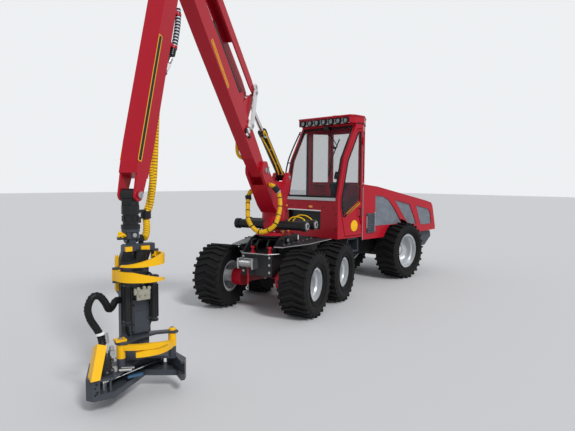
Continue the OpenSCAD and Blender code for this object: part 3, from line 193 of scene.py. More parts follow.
def finish(name, colour, rough, metal=0, coat=0, spread=0.06, scale=9, dust=0, bump=0, grain=120):
    """spread is how uneven the colour is, dust how much lies at the floor, bump how deep the grain is."""
    made, tree, shader = blank(name)
    give(shader, {"Metallic": metal, "Coat Weight": coat, "Coat Roughness": 0.08,
                  "Specular IOR Level": METAL_SHINE if metal > 0.5 else PAINT_SHINE})
    place = add(tree, "ShaderNodeTexCoord")
    noise = add(tree, "ShaderNodeTexNoise", {"Scale": scale, "Detail": 6})
    darker = [c * (1 - spread) for c in colour]
    lighter = [min(1, c * (1 + spread) + spread * 0.01) for c in colour]
    tone = add(tree, "ShaderNodeMix", {6: (*darker, 1), 7: (*lighter, 1)}, data_type="RGBA")
    gloss = {"To Min": max(0.02, rough - GLOSS_RANGE), "To Max": min(1, rough + GLOSS_RANGE)}
    vary = add(tree, "ShaderNodeMapRange", gloss)
    join(tree, (place, "Object", noise, "Vector"), (noise, "Fac", tone, 0), (noise, "Fac", vary, "Value"),
         (vary, "Result", shader, "Roughness"))
    coloured = tone
    if dust:
        parts = add(tree, "ShaderNodeSeparateXYZ")
        fading = {"From Max": DUST_TOP, "To Min": dust, "To Max": dust * DUST_ABOVE}
        low = add(tree, "ShaderNodeMapRange", fading)
        patch = add(tree, "ShaderNodeTexNoise", {"Scale": 3.5, "Detail": 8})
        amount = add(tree, "ShaderNodeMath", operation="MULTIPLY")
        dusty = add(tree, "ShaderNodeMix", {7: DUST_COLOUR}, data_type="RGBA")
        join(tree, (place, "Object", parts, 0), (parts, "Z", low, "Value"),
             (place, "Object", patch, "Vector"), (low, "Result", amount, 0), (patch, "Fac", amount, 1),
             (amount, 0, dusty, 0), (tone, 2, dusty, 6))
        coloured = dusty
    join(tree, (coloured, 2, shader, "Base Color"))
    if bump:
        fine = add(tree, "ShaderNodeTexNoise", {"Scale": grain, "Detail": 4})
        relief = add(tree, "ShaderNodeBump", {"Strength": bump, "Distance": 0.002})
        join(tree, (place, "Object", fine, "Vector"), (fine, "Fac", relief, "Height"),
             (relief, "Normal", shader, "Normal"))
    finishes[name] = made


finish("crimson_paint", (0.41, 0.003, 0.016), 0.34, coat=0.10, spread=0.05, dust=0.03)
finish("black_paint", BLACK, 0.40, coat=0.15, spread=0.15, dust=0.10)
finish("dark_grey_paint", (0.040, 0.048, 0.062), 0.42, coat=0.15, spread=0.12, dust=0.08)
finish("pale_grey_paint", (0.62, 0.63, 0.62), 0.40, spread=0.04, dust=0.10)
finish("yellow_paint", (0.88, 0.48, 0.002), 0.40, coat=0.08, spread=0.08, scale=16, dust=0.03)
finish("silver_rim_paint", (0.60, 0.62, 0.64), 0.30, metal=0.45, spread=0.05, dust=0.10)
finish("tyre_rubber", (0.0042, 0.0042, 0.005), 0.74, spread=0.30, dust=0.035, bump=0.5, grain=160)
finish("polished_rod", (0.80, 0.81, 0.82), 0.12, metal=1.0, spread=0.02)
finish("worn_steel", (0.50, 0.50, 0.50), 0.32, metal=0.9, spread=0.10, bump=0.2)
finish("seat_cloth", (0.010, 0.012, 0.022), 0.9, spread=0.2, bump=0.6, grain=700)
finish("cab_plastic", (0.030, 0.031, 0.035), 0.55, spread=0.12, bump=0.3, grain=500)
finish("yellow_hose_skin", (0.84, 0.50, 0.008), 0.38, spread=0.10, scale=20)
# painted shade: the darker yellow of a hose's core between its ribs stands in for the shade in the grooves
finish("hose_groove_shade", (0.34, 0.17, 0.004), 0.6, spread=0.10, scale=20)
finish("black_hose_skin", (0.010, 0.010, 0.011), 0.42, spread=0.15)
finish("white_hose_skin", (0.62, 0.68, 0.74), 0.35, spread=0.05)
finish("seal_rubber", (0.006, 0.006, 0.007), 0.55, spread=0.2, bump=0.2, grain=300)
finish("amber_plastic", (0.90, 0.42, 0.10), 0.25, coat=0.3, spread=0.05)
finish("white_plastic", (0.78, 0.79, 0.78), 0.35, spread=0.03)
finish("lamp_reflector", (0.55, 0.57, 0.60), 0.18, metal=0.7, spread=0.08, scale=60)
finish("mesh_wire", (0.36, 0.40, 0.46), 0.5, metal=0.2, spread=0.35, scale=7)
# painted shade: a dark blotched sheet stands in for the engine bay seen through the hood's mesh, its parts
# and the shade inside it
finish("bay_painted_shade", (0.075, 0.085, 0.10), 0.6, spread=0.85, scale=5)
finish("brass_fitting", (0.52, 0.50, 0.40), 0.28, metal=0.9, spread=0.15, scale=60)
finish("blue_steel", (0.06, 0.15, 0.27), 0.35, metal=0.6, spread=0.2, scale=30)
finishes["clear_glass"], _, shader = blank("clear_glass")
give(shader, {"Base Color": (0.06, 0.085, 0.10, 1), "Roughness": 0.02, "Alpha": 0.16, "IOR": 1.45})
print("finishes", len(finishes))

# %% [markdown]
# The CAD names a slot for every node, so one table gives each its finish. The slew house is one casting,
# painted black below its flange and crimson above. Two objects could show that, but a step on the height in
# its material leaves it whole.

# %% Finishes of the CAD nodes
FLANGE_HEIGHT = 1.022
of_slot = {
    "paint_red": "crimson_paint", "paint_black": "black_paint", "paint_grey": "dark_grey_paint",
    "paint_pale": "pale_grey_paint", "paint_yellow": "yellow_paint", "rim_silver": "silver_rim_paint",
    "tyre": "tyre_rubber", "glass": "clear_glass", "chrome": "polished_rod", "bright_steel": "worn_steel",
    "seat_fabric": "seat_cloth", "trim_plastic": "cab_plastic", "hose_yellow": "yellow_hose_skin",
    "hose_black": "black_hose_skin"}
slot_of = {finish_name: slot for slot, finish_name in of_slot.items()}
slot_of.update({
    "white_hose_skin": "hose_black", "hose_groove_shade": "hose_yellow", "seal_rubber": "trim_plastic",
    "amber_plastic": "paint_yellow", "white_plastic": "paint_pale", "lamp_reflector": "bright_steel",
    "mesh_wire": "paint_grey", "brass_fitting": "bright_steel", "blue_steel": "bright_steel",
    "bay_painted_shade": "paint_grey"})

for row in frame["record"]["subparts"]:
    mesh = nodes[row["node"]].data
    mesh.materials.clear()
    mesh.materials.append(finishes[of_slot[row["material_slot"]]])

two_tone = finishes["crimson_paint"].copy()
two_tone.name = "slew_house_paint"
tree = two_tone.node_tree
shader = tree.nodes["Principled BSDF"]
red = shader.inputs["Base Color"].links[0].from_node
place = add(tree, "ShaderNodeTexCoord")
parts = add(tree, "ShaderNodeSeparateXYZ")
step = add(tree, "ShaderNodeMath", {1: FLANGE_HEIGHT}, operation="GREATER_THAN")
both = add(tree, "ShaderNodeMix", {6: (*BLACK, 1)}, data_type="RGBA")
join(tree, (place, "Object", parts, 0), (parts, "Z", step, 0), (step, 0, both, 0), (red, 2, both, 7),
     (both, 2, shader, "Base Color"))
nodes["slew_house"].data.materials[0] = two_tone
# the hood's mesh panel gets the dark sheet that paints the shaded engine bay behind it
nodes["hood_mesh"].data.materials[0] = finishes["bay_painted_shade"]

# %% [markdown]
# Details are written as a draughtsman would dimension them, in millimetres of a local system. A part is a
# list of corners and faces. Blender's primitives would need a place, a turn and a size each, while these
# makers give prisms, rods, turned shapes and swept tubes right where they belong.

# %% Makers of parts
def spot(at, x, y, z):
    return at @ Vector((x / 1000, y / 1000, z / 1000))


def around(points):
    """Each point with the next one, and the last with the first."""
    return zip(points, points[1:] + points[:1])


def standing(outline, y):
    """An outline of (x, z) pairs, stood up at one y."""
    return [(x, y, z) for x, z in outline]


def prism(at, outline, low, high, axis="y"):
    """An outline drawn across an axis, and drawn out along it from low to high."""
    points = []
    for level in (low, high):
        for a, b in outline:
            points.append(spot(at, *{"x": (level, a, b), "y": (a, level, b), "z": (a, b, level)}[axis]))
    n = len(outline)
    faces = [list(range(n)), list(range(n, 2 * n))]
    faces += [[i, (i + 1) % n, n + (i + 1) % n, n + i] for i in range(n)]
    return points, faces


def box(at, centre, size):
    (x, y, z), (a, b, c) = centre, [s / 2 for s in size]
    return prism(at, [(x - a, z - c), (x + a, z - c), (x + a, z + c), (x - a, z + c)], y - b, y + b)


def boxes(at, *rows):
    """Boxes from rows of a centre and a size."""
    return [box(at, centre, size) for centre, size in rows]


def sweep(path, radius, sides=12, closed=False):
    """A tube along points in metres. Its radius in millimetres is one number, or one for each point."""
    n = len(path)
    radii = radius if hasattr(radius, "__len__") else [radius] * n
    points, faces = [], []
    across = None
    for i, here in enumerate(path):
        before = path[i - 1] if i or closed else path[0]
        after = path[(i + 1) % n] if i < n - 1 or closed else path[-1]
        run = (after - before).normalized()
        if across is None:
            across = run.orthogonal().normalized()
        across = (across - run * across.dot(run)).normalized()
        up = run.cross(across)
        for k in range(sides):
            a = math.tau * k / sides
            points.append(here + (across * math.cos(a) + up * math.sin(a)) * radii[i] / 1000)
    for i in range(n if closed else n - 1):
        j = (i + 1) % n
        for k in range(sides):
            m = (k + 1) % sides
            faces.append([i * sides + k, i * sides + m, j * sides + m, j * sides + k])
    if not closed:
        faces += [list(range(sides)), list(range((n - 1) * sides, n * sides))]
    return points, faces


def spline(points, steps):
    """Smooth points between given ones, as the CAD makes them."""
    given = [Vector(p) for p in points]
    last = len(given) - 1
    smooth = []
    for i in range(last):
        a, b, c, d = given[max(i - 1, 0)], given[i], given[i + 1], given[min(i + 2, last)]
        for t in (k / steps for k in range(steps)):
            bend = (2 * a - 5 * b + 4 * c - d) * t * t + (3 * b - a - 3 * c + d) * t ** 3
            smooth.append(0.5 * (2 * b + (c - a) * t + bend))
    return smooth + [given[last]]


def tube(at, points, radius, sides=8, closed=False, steps=0):
    """A tube through points in millimetres, straight between them, or smooth where steps are given."""
    path = spline(points, steps) if steps else points
    return sweep([spot(at, *p) for p in path], radius, sides, closed)


def rod(at, start, end, diameter, sides=20):
    return tube(at, [start, end], diameter / 2, sides)


def rods(at, *rows, sides=20):
    """Rods from rows of a start, an end and a diameter."""
    return [rod(at, start, end, diameter, sides) for start, end, diameter in rows]


def turned(at, profile, sides=32, axis="y", solid=False):
    """A profile of (radius, height) pairs, turned round a local axis. A solid one is filled to the axis."""
    if solid:
        profile = [(0, profile[0][1]), *profile, (0, profile[-1][1])]
    points, faces = [], []
    for k in range(sides):
        a = math.tau * k / sides
        for r, h in profile:
            c, s = r * math.cos(a), r * math.sin(a)
            points.append(spot(at, *{"x": (h, c, s), "y": (c, h, s), "z": (c, s, h)}[axis]))
    n = len(profile)
    for k in range(sides):
        j = (k + 1) % sides
        for i in range(n):
            m = (i + 1) % n
            if profile[i][0] or profile[m][0]:
                faces.append([k * n + i, k * n + m, j * n + m, j * n + i])
    return points, faces


# %% [markdown]
# Every piece rides on a body, except a run across a joint, which is baked where it lies. `dress` joins parts
# of one finish, merges doubled corners so that poles close, and breaks the edges as a maker would. A Bevel
# modifier would do the same, but would have to be applied each time.

# %% Dressing a piece
MERGE, SHARP = 0.00002, math.radians(40)


def rides(piece, body, between=None):
    if between:
        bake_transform(piece)
    else:
        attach(piece, body)
    return piece


def shade(mesh, skin, smooth):
    mesh.materials.clear()
    mesh.materials.append(finishes[skin])
    for face in mesh.polygons:
        face.use_smooth = True
    mesh.set_sharp_from_angle(angle=math.radians(smooth))


def dress(name, body, skin, parts, bevel=0, smooth=35, between=None):
    work = bmesh.new()
    for points, faces in parts:
        made = [work.verts.new(p) for p in points]
        for face in faces:
            work.faces.new([made[i] for i in face])
    bmesh.ops.remove_doubles(work, verts=work.verts, dist=MERGE)
    bmesh.ops.recalc_face_normals(work, faces=work.faces)
    if bevel:
        sharp = [e for e in work.edges if len(e.link_faces) == 2 and e.calc_face_angle() > SHARP]
        size = bevel / 1000
        bmesh.ops.bevel(work, geom=sharp, offset=size, segments=2, affect="EDGES", clamp_overlap=True)
    mesh = bpy.data.meshes.new(name)
    work.to_mesh(mesh)
    work.free()
    shade(mesh, skin, smooth)
    piece = bpy.data.objects.new(name, mesh)
    scene.collection.objects.link(piece)
    return rides(piece, body, between)


# %% [markdown]
# What repeats is grown by Geometry Nodes: bolt heads on points that carry their own direction, round wires
# along edges, and ribs along a hose. A loop could copy them, but a tree with named inputs serves every
# place. Each tree realizes its instances, because the export would drop them.

# %% Trees for bolts, wires and ribs
FLOAT, COUNT, CYLINDER = "NodeSocketFloat", "NodeSocketInt", "GeometryNodeMeshCylinder"


def new_tree(name, inputs):
    """An empty tree with its named inputs, their sockets, and a function that ends the tree."""
    tree = bpy.data.node_groups.new(name, "GeometryNodeTree")
    for way in ("INPUT", "OUTPUT"):
        tree.interface.new_socket("Geometry", in_out=way, socket_type="NodeSocketGeometry")
    for label, kind in [*inputs, ("Finish", "NodeSocketMaterial")]:
        tree.interface.new_socket(label, in_out="INPUT", socket_type=kind)
    given = add(tree, "NodeGroupInput")
    result = add(tree, "NodeGroupOutput")

    def end(node, output):
        whole = add(tree, "GeometryNodeRealizeInstances")
        paint = add(tree, "GeometryNodeSetMaterial")
        join(tree, (node, output, whole, "Geometry"), (whole, "Geometry", paint, "Geometry"),
             (given, "Finish", paint, "Material"), (paint, "Geometry", result, "Geometry"))

    return tree, given, end


bolt_tree, given, end = new_tree("hex_bolts", [("Head Height", FLOAT)])
axis = add(bolt_tree, "GeometryNodeInputNamedAttribute", data_type="FLOAT_VECTOR")
width = add(bolt_tree, "GeometryNodeInputNamedAttribute", data_type="FLOAT")
give(axis, {"Name": "axis"})
give(width, {"Name": "width"})
turn_up = add(bolt_tree, "FunctionNodeAlignRotationToVector", axis="Z")
hexagon = add(bolt_tree, CYLINDER, {"Vertices": 6, "Radius": 0.5}, fill_type="NGON")
washer = add(bolt_tree, CYLINDER, {"Vertices": 12, "Radius": 0.66, "Depth": 0.16}, fill_type="NGON")
both = add(bolt_tree, "GeometryNodeJoinGeometry")
heads = add(bolt_tree, "GeometryNodeInstanceOnPoints")
join(bolt_tree, (given, "Head Height", hexagon, "Depth"), (hexagon, "Mesh", both, 0),
     (washer, "Mesh", both, 0), (axis, "Attribute", turn_up, "Vector"),
     (given, "Geometry", heads, "Points"), (both, 0, heads, "Instance"),
     (turn_up, "Rotation", heads, "Rotation"), (width, "Attribute", heads, "Scale"))
end(heads, "Instances")

wire_tree, given, end = new_tree("wires_on_edges", [("Wire Radius", FLOAT), ("Sides", COUNT)])
line = add(wire_tree, "GeometryNodeMeshToCurve")
round_wire = add(wire_tree, "GeometryNodeCurvePrimitiveCircle")
skinned = add(wire_tree, "GeometryNodeCurveToMesh", {"Fill Caps": True})
join(wire_tree, (given, "Geometry", line, "Mesh"), (given, "Sides", round_wire, "Resolution"),
     (given, "Wire Radius", round_wire, "Radius"), (line, "Curve", skinned, "Curve"),
     (round_wire, "Curve", skinned, "Profile Curve"))
end(skinned, "Mesh")

rib_inputs = [("Pitch", FLOAT), ("Rib Radius", FLOAT), ("Rib Width", FLOAT), ("Sides", COUNT)]
rib_tree, given, end = new_tree("ribs_on_hose", rib_inputs)
line = add(rib_tree, "GeometryNodeMeshToCurve")
spaced = add(rib_tree, "GeometryNodeCurveToPoints", mode="LENGTH")
disc = add(rib_tree, CYLINDER, fill_type="NGON")
ribs = add(rib_tree, "GeometryNodeInstanceOnPoints")
join(rib_tree, (given, "Geometry", line, "Mesh"), (line, "Curve", spaced, "Curve"),
     (given, "Pitch", spaced, "Length"), (given, "Sides", disc, "Vertices"),
     (given, "Rib Radius", disc, "Radius"), (given, "Rib Width", disc, "Depth"),
     (spaced, "Points", ribs, "Points"), (spaced, "Rotation", ribs, "Rotation"),
     (disc, "Mesh", ribs, "Instance"))
end(ribs, "Instances")
print("trees", bolt_tree.name, wire_tree.name, rib_tree.name)

# %% [markdown]
# A tree works on a seed mesh: loose points for bolts, edges for wires and ribs. The result becomes a plain
# mesh before it rides on anything. Bolts are only written down here, and grown at the end.

# %% Growing a piece from a tree
bolt_places = {}


def applied(piece):
    """A new mesh with the piece's modifiers applied, and the modifiers gone."""
    made = bpy.data.meshes.new_from_object(piece.evaluated_get(bpy.context.evaluated_depsgraph_get()))
    piece.modifiers.clear()
    piece.data = made
    return made


def grow(name, body, skin, mesh, tree, values, between=None, smooth=40):
    piece = bpy.data.objects.new(name, mesh)
    scene.collection.objects.link(piece)
    modifier = piece.modifiers.new("grown", "NODES")
    modifier.node_group = tree
    values["Finish"] = finishes[skin]
    for item in tree.interface.items_tree:
        if item.in_out == "INPUT" and item.name in values:
            modifier[item.identifier] = values[item.name]
    shade(applied(piece), skin, smooth)
    return rides(piece, body, between)


def line_mesh(name, runs):
    mesh = bpy.data.meshes.new(name)
    points, edges = [], []
    for run in runs:
        first = len(points)
        points += run
        edges += [(first + i, first + i + 1) for i in range(len(run) - 1)]
    mesh.from_pydata(points, edges, [])
    return mesh


def wires(name, body, skin, runs, radius, sides=5):
    values = {"Wire Radius": radius / 1000, "Sides": sides}
    return grow(name, body, skin, line_mesh(name, runs), wire_tree, values)


def bolts(body, at, places, towards, width, skin="worn_steel"):
    """Writes down bolts of one width that all look the same way."""
    way = (spot(at, *towards) - spot(at, 0, 0, 0)).normalized()
    rows = [(spot(at, *place), way, width / 1000) for place in places]
    bolt_places.setdefault((body, skin), []).extend(rows)


def ring(count, radius, first=0.0):
    """Pairs on a circle, the first one that share of a step round."""
    angles = [math.tau * (k + first) / count for k in range(count)]
    return [(radius * math.cos(a), radius * math.sin(a)) for a in angles]


# %% [markdown]
# A protected hydraulic hose is a smooth core with a ribbed or spiral guard. A bump map would read as flat at
# its edge, so the guard is a disc at every pitch. On a yellow hose the core between the discs is a darker
# yellow, which is painted shade in the grooves.

# %% Hoses
YELLOW, BAND_PROUD = "yellow_hose_skin", 1.5
HOSE_STEPS, HOSE_SIDES, RIB_SIDES = 5, 16, 18


def hose(name, at, points, diameter, skin, body=None, between=None, pitch=0, rib=0.62, proud=0.1, bands=0):
    """pitch is from rib to rib, and rib is the rib's share of it. bands are (pitch, width, finish)."""
    path = [spot(at, *p) for p in spline(points, HOSE_STEPS)]
    outer = diameter / 2 * (1 + proud)
    # a ribbed yellow hose gets the darker core, painted shade in the grooves between its ribs
    core = "hose_groove_shade" if pitch and skin == YELLOW else skin
    piece = dress(name, body, core, [sweep(path, diameter / 2, HOSE_SIDES)], smooth=60, between=between)
    rows = [("_ribs", skin, pitch, pitch * rib, outer)] if pitch else []
    if bands:
        rows.append(("_bands", bands[2], bands[0], bands[1], outer + BAND_PROUD))
    for ending, rib_skin, every, wide, radius in rows:
        values = {"Pitch": every / 1000, "Rib Radius": radius / 1000, "Rib Width": wide / 1000}
        values["Sides"] = RIB_SIDES
        grow(name + ending, body, rib_skin, line_mesh(name + ending, [path]), rib_tree, values, between)
    return piece


def clamp(name, body, at, start, end, diameter):
    """A black clamp round a hose that runs from start to end, with a bright sleeve that sticks out of it."""
    middle = [(a + b) / 2 for a, b in zip(start, end)]
    beyond = [m + (e - m) * 1.5 for m, e in zip(middle, end)]
    dress(name, body, "black_paint", [rod(at, start, end, diameter)], bevel=3)
    dress(name + "_sleeve", body, "worn_steel", [rod(at, middle, beyond, diameter * 0.8)], bevel=2)


COLUMN_HOSE = [
    (520, 120.4, 1730), (520, 128, 1730), (520, 150, 1730), (500, 215, 1690), (454, 249, 1570),
    (515, 272, 1404), (630, 247, 1213), (662, 114, 1125), (673, -1, 1140), (657, -109, 1260),
    (532, -174, 1412), (425, -212, 1560), (440, -172, 1640), (440, -150, 1640), (440, -128, 1640),
    (440, -120.4, 1640)]
TAPE = "black_hose_skin"
loop = hose("column_hose_loop", at_crane, COLUMN_HOSE, 54, YELLOW, "column", pitch=17, bands=(118, 13, TAPE))
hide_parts("hose_column")
clamp("loop_clamp_left", "column", at_crane, (512, 190, 1712), (480, 236, 1650), 84)
clamp("loop_clamp_right", "column", at_crane, (440, -212, 1590), (428, -205, 1530), 84)

# %% [markdown]
# Some hoses cross a joint, where a piece on each body would tear open. Such a run is given the two bodies and
# a point on each side of the bend, but it is only baked where it lies, and rides on no body.

# %% Stick hoses
STICK_HOSE = [(1190, 0, -129), (1300, 0, -128), (1500, 0, -158), (1700, 0, -200), (1850, 0, -232)]
LOWER_HOSE = [(1846, 0, -231), (1920, 0, -247), (2120, 0, -280), (2300, 0, -283), (2404, 0, -253)]
THIN_HOSE = [
    (1790, 20, -98), (1860, 26, -108), (1957, 30, -132), (2075, 34, -190), (2201, 34, -236),
    (2330, 22, -262), (2392, 12, -262)]
TAIL_HOSE = [
    (-212, 0, -150), (-212, 2, -200), (-205, 12, -250), (-170, 34, -300), (-130, 52, -335), (-100, 62, -352)]
UPPER_HOSE = [(540, 58, -150), (600, 66, -158), (700, 72, -166), (860, 72, -168), (930, 68, -164)]
HOSE_GUIDE = spot(at_tip, -212, 0, -150)
stick_run = hose("stick_hose_thick", at_stick, STICK_HOSE, 62, YELLOW, "stick", pitch=26, proud=0.05)
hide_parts("hose_stick")
lower_joint = ("stick", "tip_link", spot(at_stick, 1850, 0, -232), HOSE_GUIDE)
thin_joint = ("stick", "tip_link", spot(at_stick, 1900, 0, -120), HOSE_GUIDE)
tail_joint = ("tip_link", "rotator", spot(at_tip, -212, 0, -205), spot(at_tip, -92, 60, -330))
hose("stick_hose_lower", at_stick, LOWER_HOSE, 62, YELLOW, between=lower_joint, pitch=26, proud=0.05)
hose("stick_hose_thin", at_stick, THIN_HOSE, 34, YELLOW, between=thin_joint, pitch=22, proud=0.12)
hose("head_hose_tail", at_tip, TAIL_HOSE, 56, YELLOW, between=tail_joint, pitch=24, proud=0.05)
hose("stick_hose_upper", at_stick, UPPER_HOSE, 46, "white_hose_skin", "stick", bands=(30, 15, TAPE))


def on_fittings(along):
    """The line of couplings that leads from the upper hose to the thick one."""
    share = ((along - 930) / 270) ** 2
    return (along, 68 * (1 - share), -164 + 35 * share)


FITTINGS = [
    (930, 985, 56, "black_paint"), (1010, 1060, 40, "worn_steel"), (1070, 1130, 54, "white_plastic"),
    (1140, 1200, 70, "black_paint")]
for i, (start, end, wide, skin) in enumerate(FITTINGS):
    coupling = rod(at_stick, on_fittings(start), on_fittings(end), wide)
    dress(f"stick_hose_fitting_{i}", "stick", skin, [coupling], bevel=3)
core = rod(at_stick, on_fittings(910), on_fittings(1200), 34)
dress("stick_hose_core", "stick", "black_hose_skin", [core])
BRACKETS = [
    (590, 62, -156, "crimson_paint"), (905, 68, -165, "crimson_paint"), (1160, 10, -134, "crimson_paint"),
    (1500, 0, -158, "black_paint")]
for i, (along, across, level, skin) in enumerate(BRACKETS):
    foot = box(at_stick, (along, min(across, 52), (level - 95) / 2), (34, 60, abs(level) - 80))
    band = rod(at_stick, (along - 14, across, level), (along + 14, across, level), 66)
    dress(f"stick_hose_bracket_{i}", "stick", skin, [foot, band], bevel=2)
print("fittings", len(FITTINGS), "brackets", len(BRACKETS))

# %% [markdown]
# The crane's stripes are thin vinyl on the plates. A painted pattern would need a map of every plate, so
# they are flat frames a fraction of a millimetre proud.

# %% Crane stripes
BOOM_FACE, STICK_FACE, VINYL = 77, 84, 0.8


def stripe(name, body, at, start, end, half, face, line=8):
    """A frame of tape on a face, from start to end, half its height to each side of that line."""
    start, end = Vector(start), Vector(end)
    run = (end - start).normalized()
    up = Vector((-run.y, run.x)) * half
    low, high = sorted((face, face + math.copysign(VINYL, face)))
    parts = []
    for a, b in around([start - up, end - up, end + up, start + up]):
        along = (b - a).normalized() * line / 2
        inward = Vector((-along.y, along.x))
        tape = [a - along - inward, b + along - inward, b + along + inward, a - along + inward]
        parts.append(prism(at, tape, low, high))
    dress(name, body, "yellow_paint", parts)


stripe("boom_stripe", "boom", at_boom, (1365, -74), (1925, -50), 20, BOOM_FACE)
stripe("boom_stripe_core", "boom", at_boom, (1385, -73), (1905, -51), 6, BOOM_FACE, line=5)
stripe("boom_stripe_right", "boom", at_boom, (1365, -74), (1925, -50), 20, -BOOM_FACE)
for label, side in SIDES:
    face = side * STICK_FACE
    stripe(f"stick_stripe_{label}", "stick", at_stick, (930, 66), (2035, 66), 22, face)
    field = box(at_stick, (1482.5, face + side * 0.3, 66), (1097, 0.6, 36))
    dress(f"stick_stripe_field_{label}", "stick", "black_paint", [field])
print("stripes laid")

# %% [markdown]
# Every big pin of the crane ends in a bright cap with one bolt. The lever also carries a hook that holds
# its hoses, and clamps in white and black. These are turned and boxed parts, a few faces each.

# %% Pins, lever hook and cylinder ports
LEVER_LEAN, LIFT_LEAN = math.radians(62.3), math.radians(36.99)
PIN_CAPS = [
    ("column", at_crane, 630, 1920, 122, 74), ("column", at_crane, -335, 1835, 121, 62),
    ("stick", at_boom, 2830, 0, 102, 74), ("stick", at_stick, 2300, 0, 95, 56),
    ("lever", at_boom, 655, 108, 99, 50), ("lever", at_boom, 855, 489, 99, 46)]
cap_parts = {}
for body, at, x, z, reach, wide in PIN_CAPS:
    for _, side in SIDES:
        profile = [(wide / 2, 0), (wide / 2, side * 9), (wide * 0.3, side * 13)]
        cap = turned(placed(at, x, side * reach, z), profile, solid=True)
        cap_parts.setdefault(body, []).append(cap)
        bolts(body, at, [(x, side * (reach + 12), z)], (0, side, 0), 24)
for body, parts in cap_parts.items():
    dress(f"pin_caps_{body}", body, "worn_steel", parts, smooth=30)
dress("boom_pin_keeper", "column", "worn_steel", [box(at_crane, (560, 128, 1925), (44, 12, 92))], bevel=4)

HOOK = [(20, 46), (62, 30), (92, 0), (96, -36), (74, -58), (44, -54), (34, -34)]
at_lever_top = placed(at_boom, 855, 0, 489, -LEVER_LEAN, "Y")
hook = tube(at_lever_top, standing(HOOK, 90), 13, 12, steps=6)
dress("lever_hook", "lever", "pale_grey_paint", [hook], smooth=60)
white_clamps = rods(at_boom, ((650, 79, 60), (735, 108, 20), 34), ((700, 79, 40), (760, 100, 92), 30),
                    ((640, 84, -60), (700, 92, -90), 26)) + boxes(at_boom, ((690, 90, -20), (60, 26, 40)))
dress("lever_clamps", "boom", "white_plastic", white_clamps, bevel=3)
black_clamps = [rod(at_boom, (600, 82, -30), (660, 96, -70), 36), box(at_boom, (730, 86, -60), (40, 18, 60))]
dress("lever_clamps_black", "boom", "black_paint", black_clamps, bevel=3)

at_lift = placed(at_crane, -335, 0, 1835, -LIFT_LEAN, "Y")
LIFT_HOSE = [
    (1000, 42, -62), (1050, 58, -76), (1070, 64, -60), (1030, 62, -44), (900, 62, -40), (650, 62, -42),
    (380, 62, -42), (190, 60, -40), (110, 54, -30)]
LIFT_HOSE_LOW = [(960, -4, -62), (800, 20, -76), (500, 30, -74), (260, 26, -70), (150, 10, -62)]
BOOM_HOSE = [(300, -84, -60), (330, -104, -96), (400, -112, -110), (480, -104, -92), (560, -84, -60)]
hose("lift_hose", at_lift, LIFT_HOSE, 20, YELLOW, "lift_barrel")
hose("lift_hose_low", at_lift, LIFT_HOSE_LOW, 18, YELLOW, "lift_barrel")
ports = rods(at_lift, ((960, 30, -50), (960, 60, -66), 34), ((120, 30, -40), (120, 62, -34), 34))
ports += boxes(at_lift, ((700, 40, -50), (26, 40, 30)), ((400, 40, -50), (26, 40, 30)))
dress("lift_ports", "lift_barrel", "worn_steel", ports, bevel=2)
hose("boom_side_hose", at_boom, BOOM_HOSE, 38, YELLOW, "boom", pitch=16)
clamp("boom_side_clamp", "boom", at_boom, (300, -80, -56), (312, -100, -84), 62)
print("pin caps", 2 * len(PIN_CAPS))

# %% [markdown]
# The windscreen sits in a black rubber seal that follows the bent front. The seal, the grey strip under it
# and the wiper are what make a red box read as a cab. A swept tube follows the bend, where a cut in the
# shell would have to be drawn twice.

# %% Cab front
SCREEN = [(330, 1528), (180, 2150), (-126, 2694)]
SCREEN_LEVELS, SCREEN_HALF = (1528, 1840, 2150, 2430, 2690), 548


def on_screen(y, height, lift=0):
    """A point on the windscreen at that height, lift millimetres in front of it."""
    (x0, z0), (x1, z1) = SCREEN[:2] if height <= SCREEN[1][1] else SCREEN[1:]
    return (x0 + (x1 - x0) * (height - z0) / (z1 - z0) + lift, y, height)


edge = []
for side, levels in ((-1, SCREEN_LEVELS), (1, SCREEN_LEVELS[::-1])):
    edge += [on_screen(side * SCREEN_HALF, z) for z in levels]
    edge += [on_screen(y, levels[-1]) for y in (side * 200, -side * 200)]
dress("windscreen_seal", "rear", "seal_rubber", [tube(at_rear, edge, 19, closed=True)], smooth=60)
dress("front_strip", "rear", "worn_steel", [box(at_rear, (330.25, 0, 1487), (7.5, 1120, 50))], bevel=2)
ledge = [(318, 1280), (346, 1280), (346, 1290), (326.5, 1300), (318, 1300)]
dress("recess_ledge", "rear", "pale_grey_paint", [prism(at_rear, ledge, -508, 246)], bevel=2)
lining = [box(at_rear, (300, y, 1130), (48, 8, 290)) for y in (-496, 236)]
dress("recess_lining", "rear", "black_paint", lining, bevel=1)
markers = [box(at_rear, (334, y, 1352), (16, 76, 34)) for y in (24, -560)]
dress("marker_lamps", "rear", "amber_plastic", markers, bevel=5)
PANEL_BOLTS = [(-430, 1356), (-250, 1352), (300, 1352), (520, 1352)]
PANEL_BOLTS += [(y, z) for y in (560, -560) for z in (1000, 1250)]
bolts("rear", at_rear, [(327, y, z) for y, z in PANEL_BOLTS], (1, 0, 0), 18, "black_paint")

WIPER_PIVOT = (352, 2334)
wiper = [
    tube(at_rear, [on_screen(-20, 2684, 40), on_screen(*WIPER_PIVOT, 34)], 9),
    tube(at_rear, [on_screen(30, 2688, 40), on_screen(400, 2352, 34)], 7),
    tube(at_rear, [on_screen(376, 2480, 26), on_screen(372, 2150, 30), on_screen(368, 1860, 26)], 11, 6),
    rod(at_rear, on_screen(*WIPER_PIVOT, 20), on_screen(*WIPER_PIVOT, 56), 40),
    box(at_rear, on_screen(5, 2700, 34), (60, 110, 44))]
dress("wiper", "rear", "black_paint", wiper)

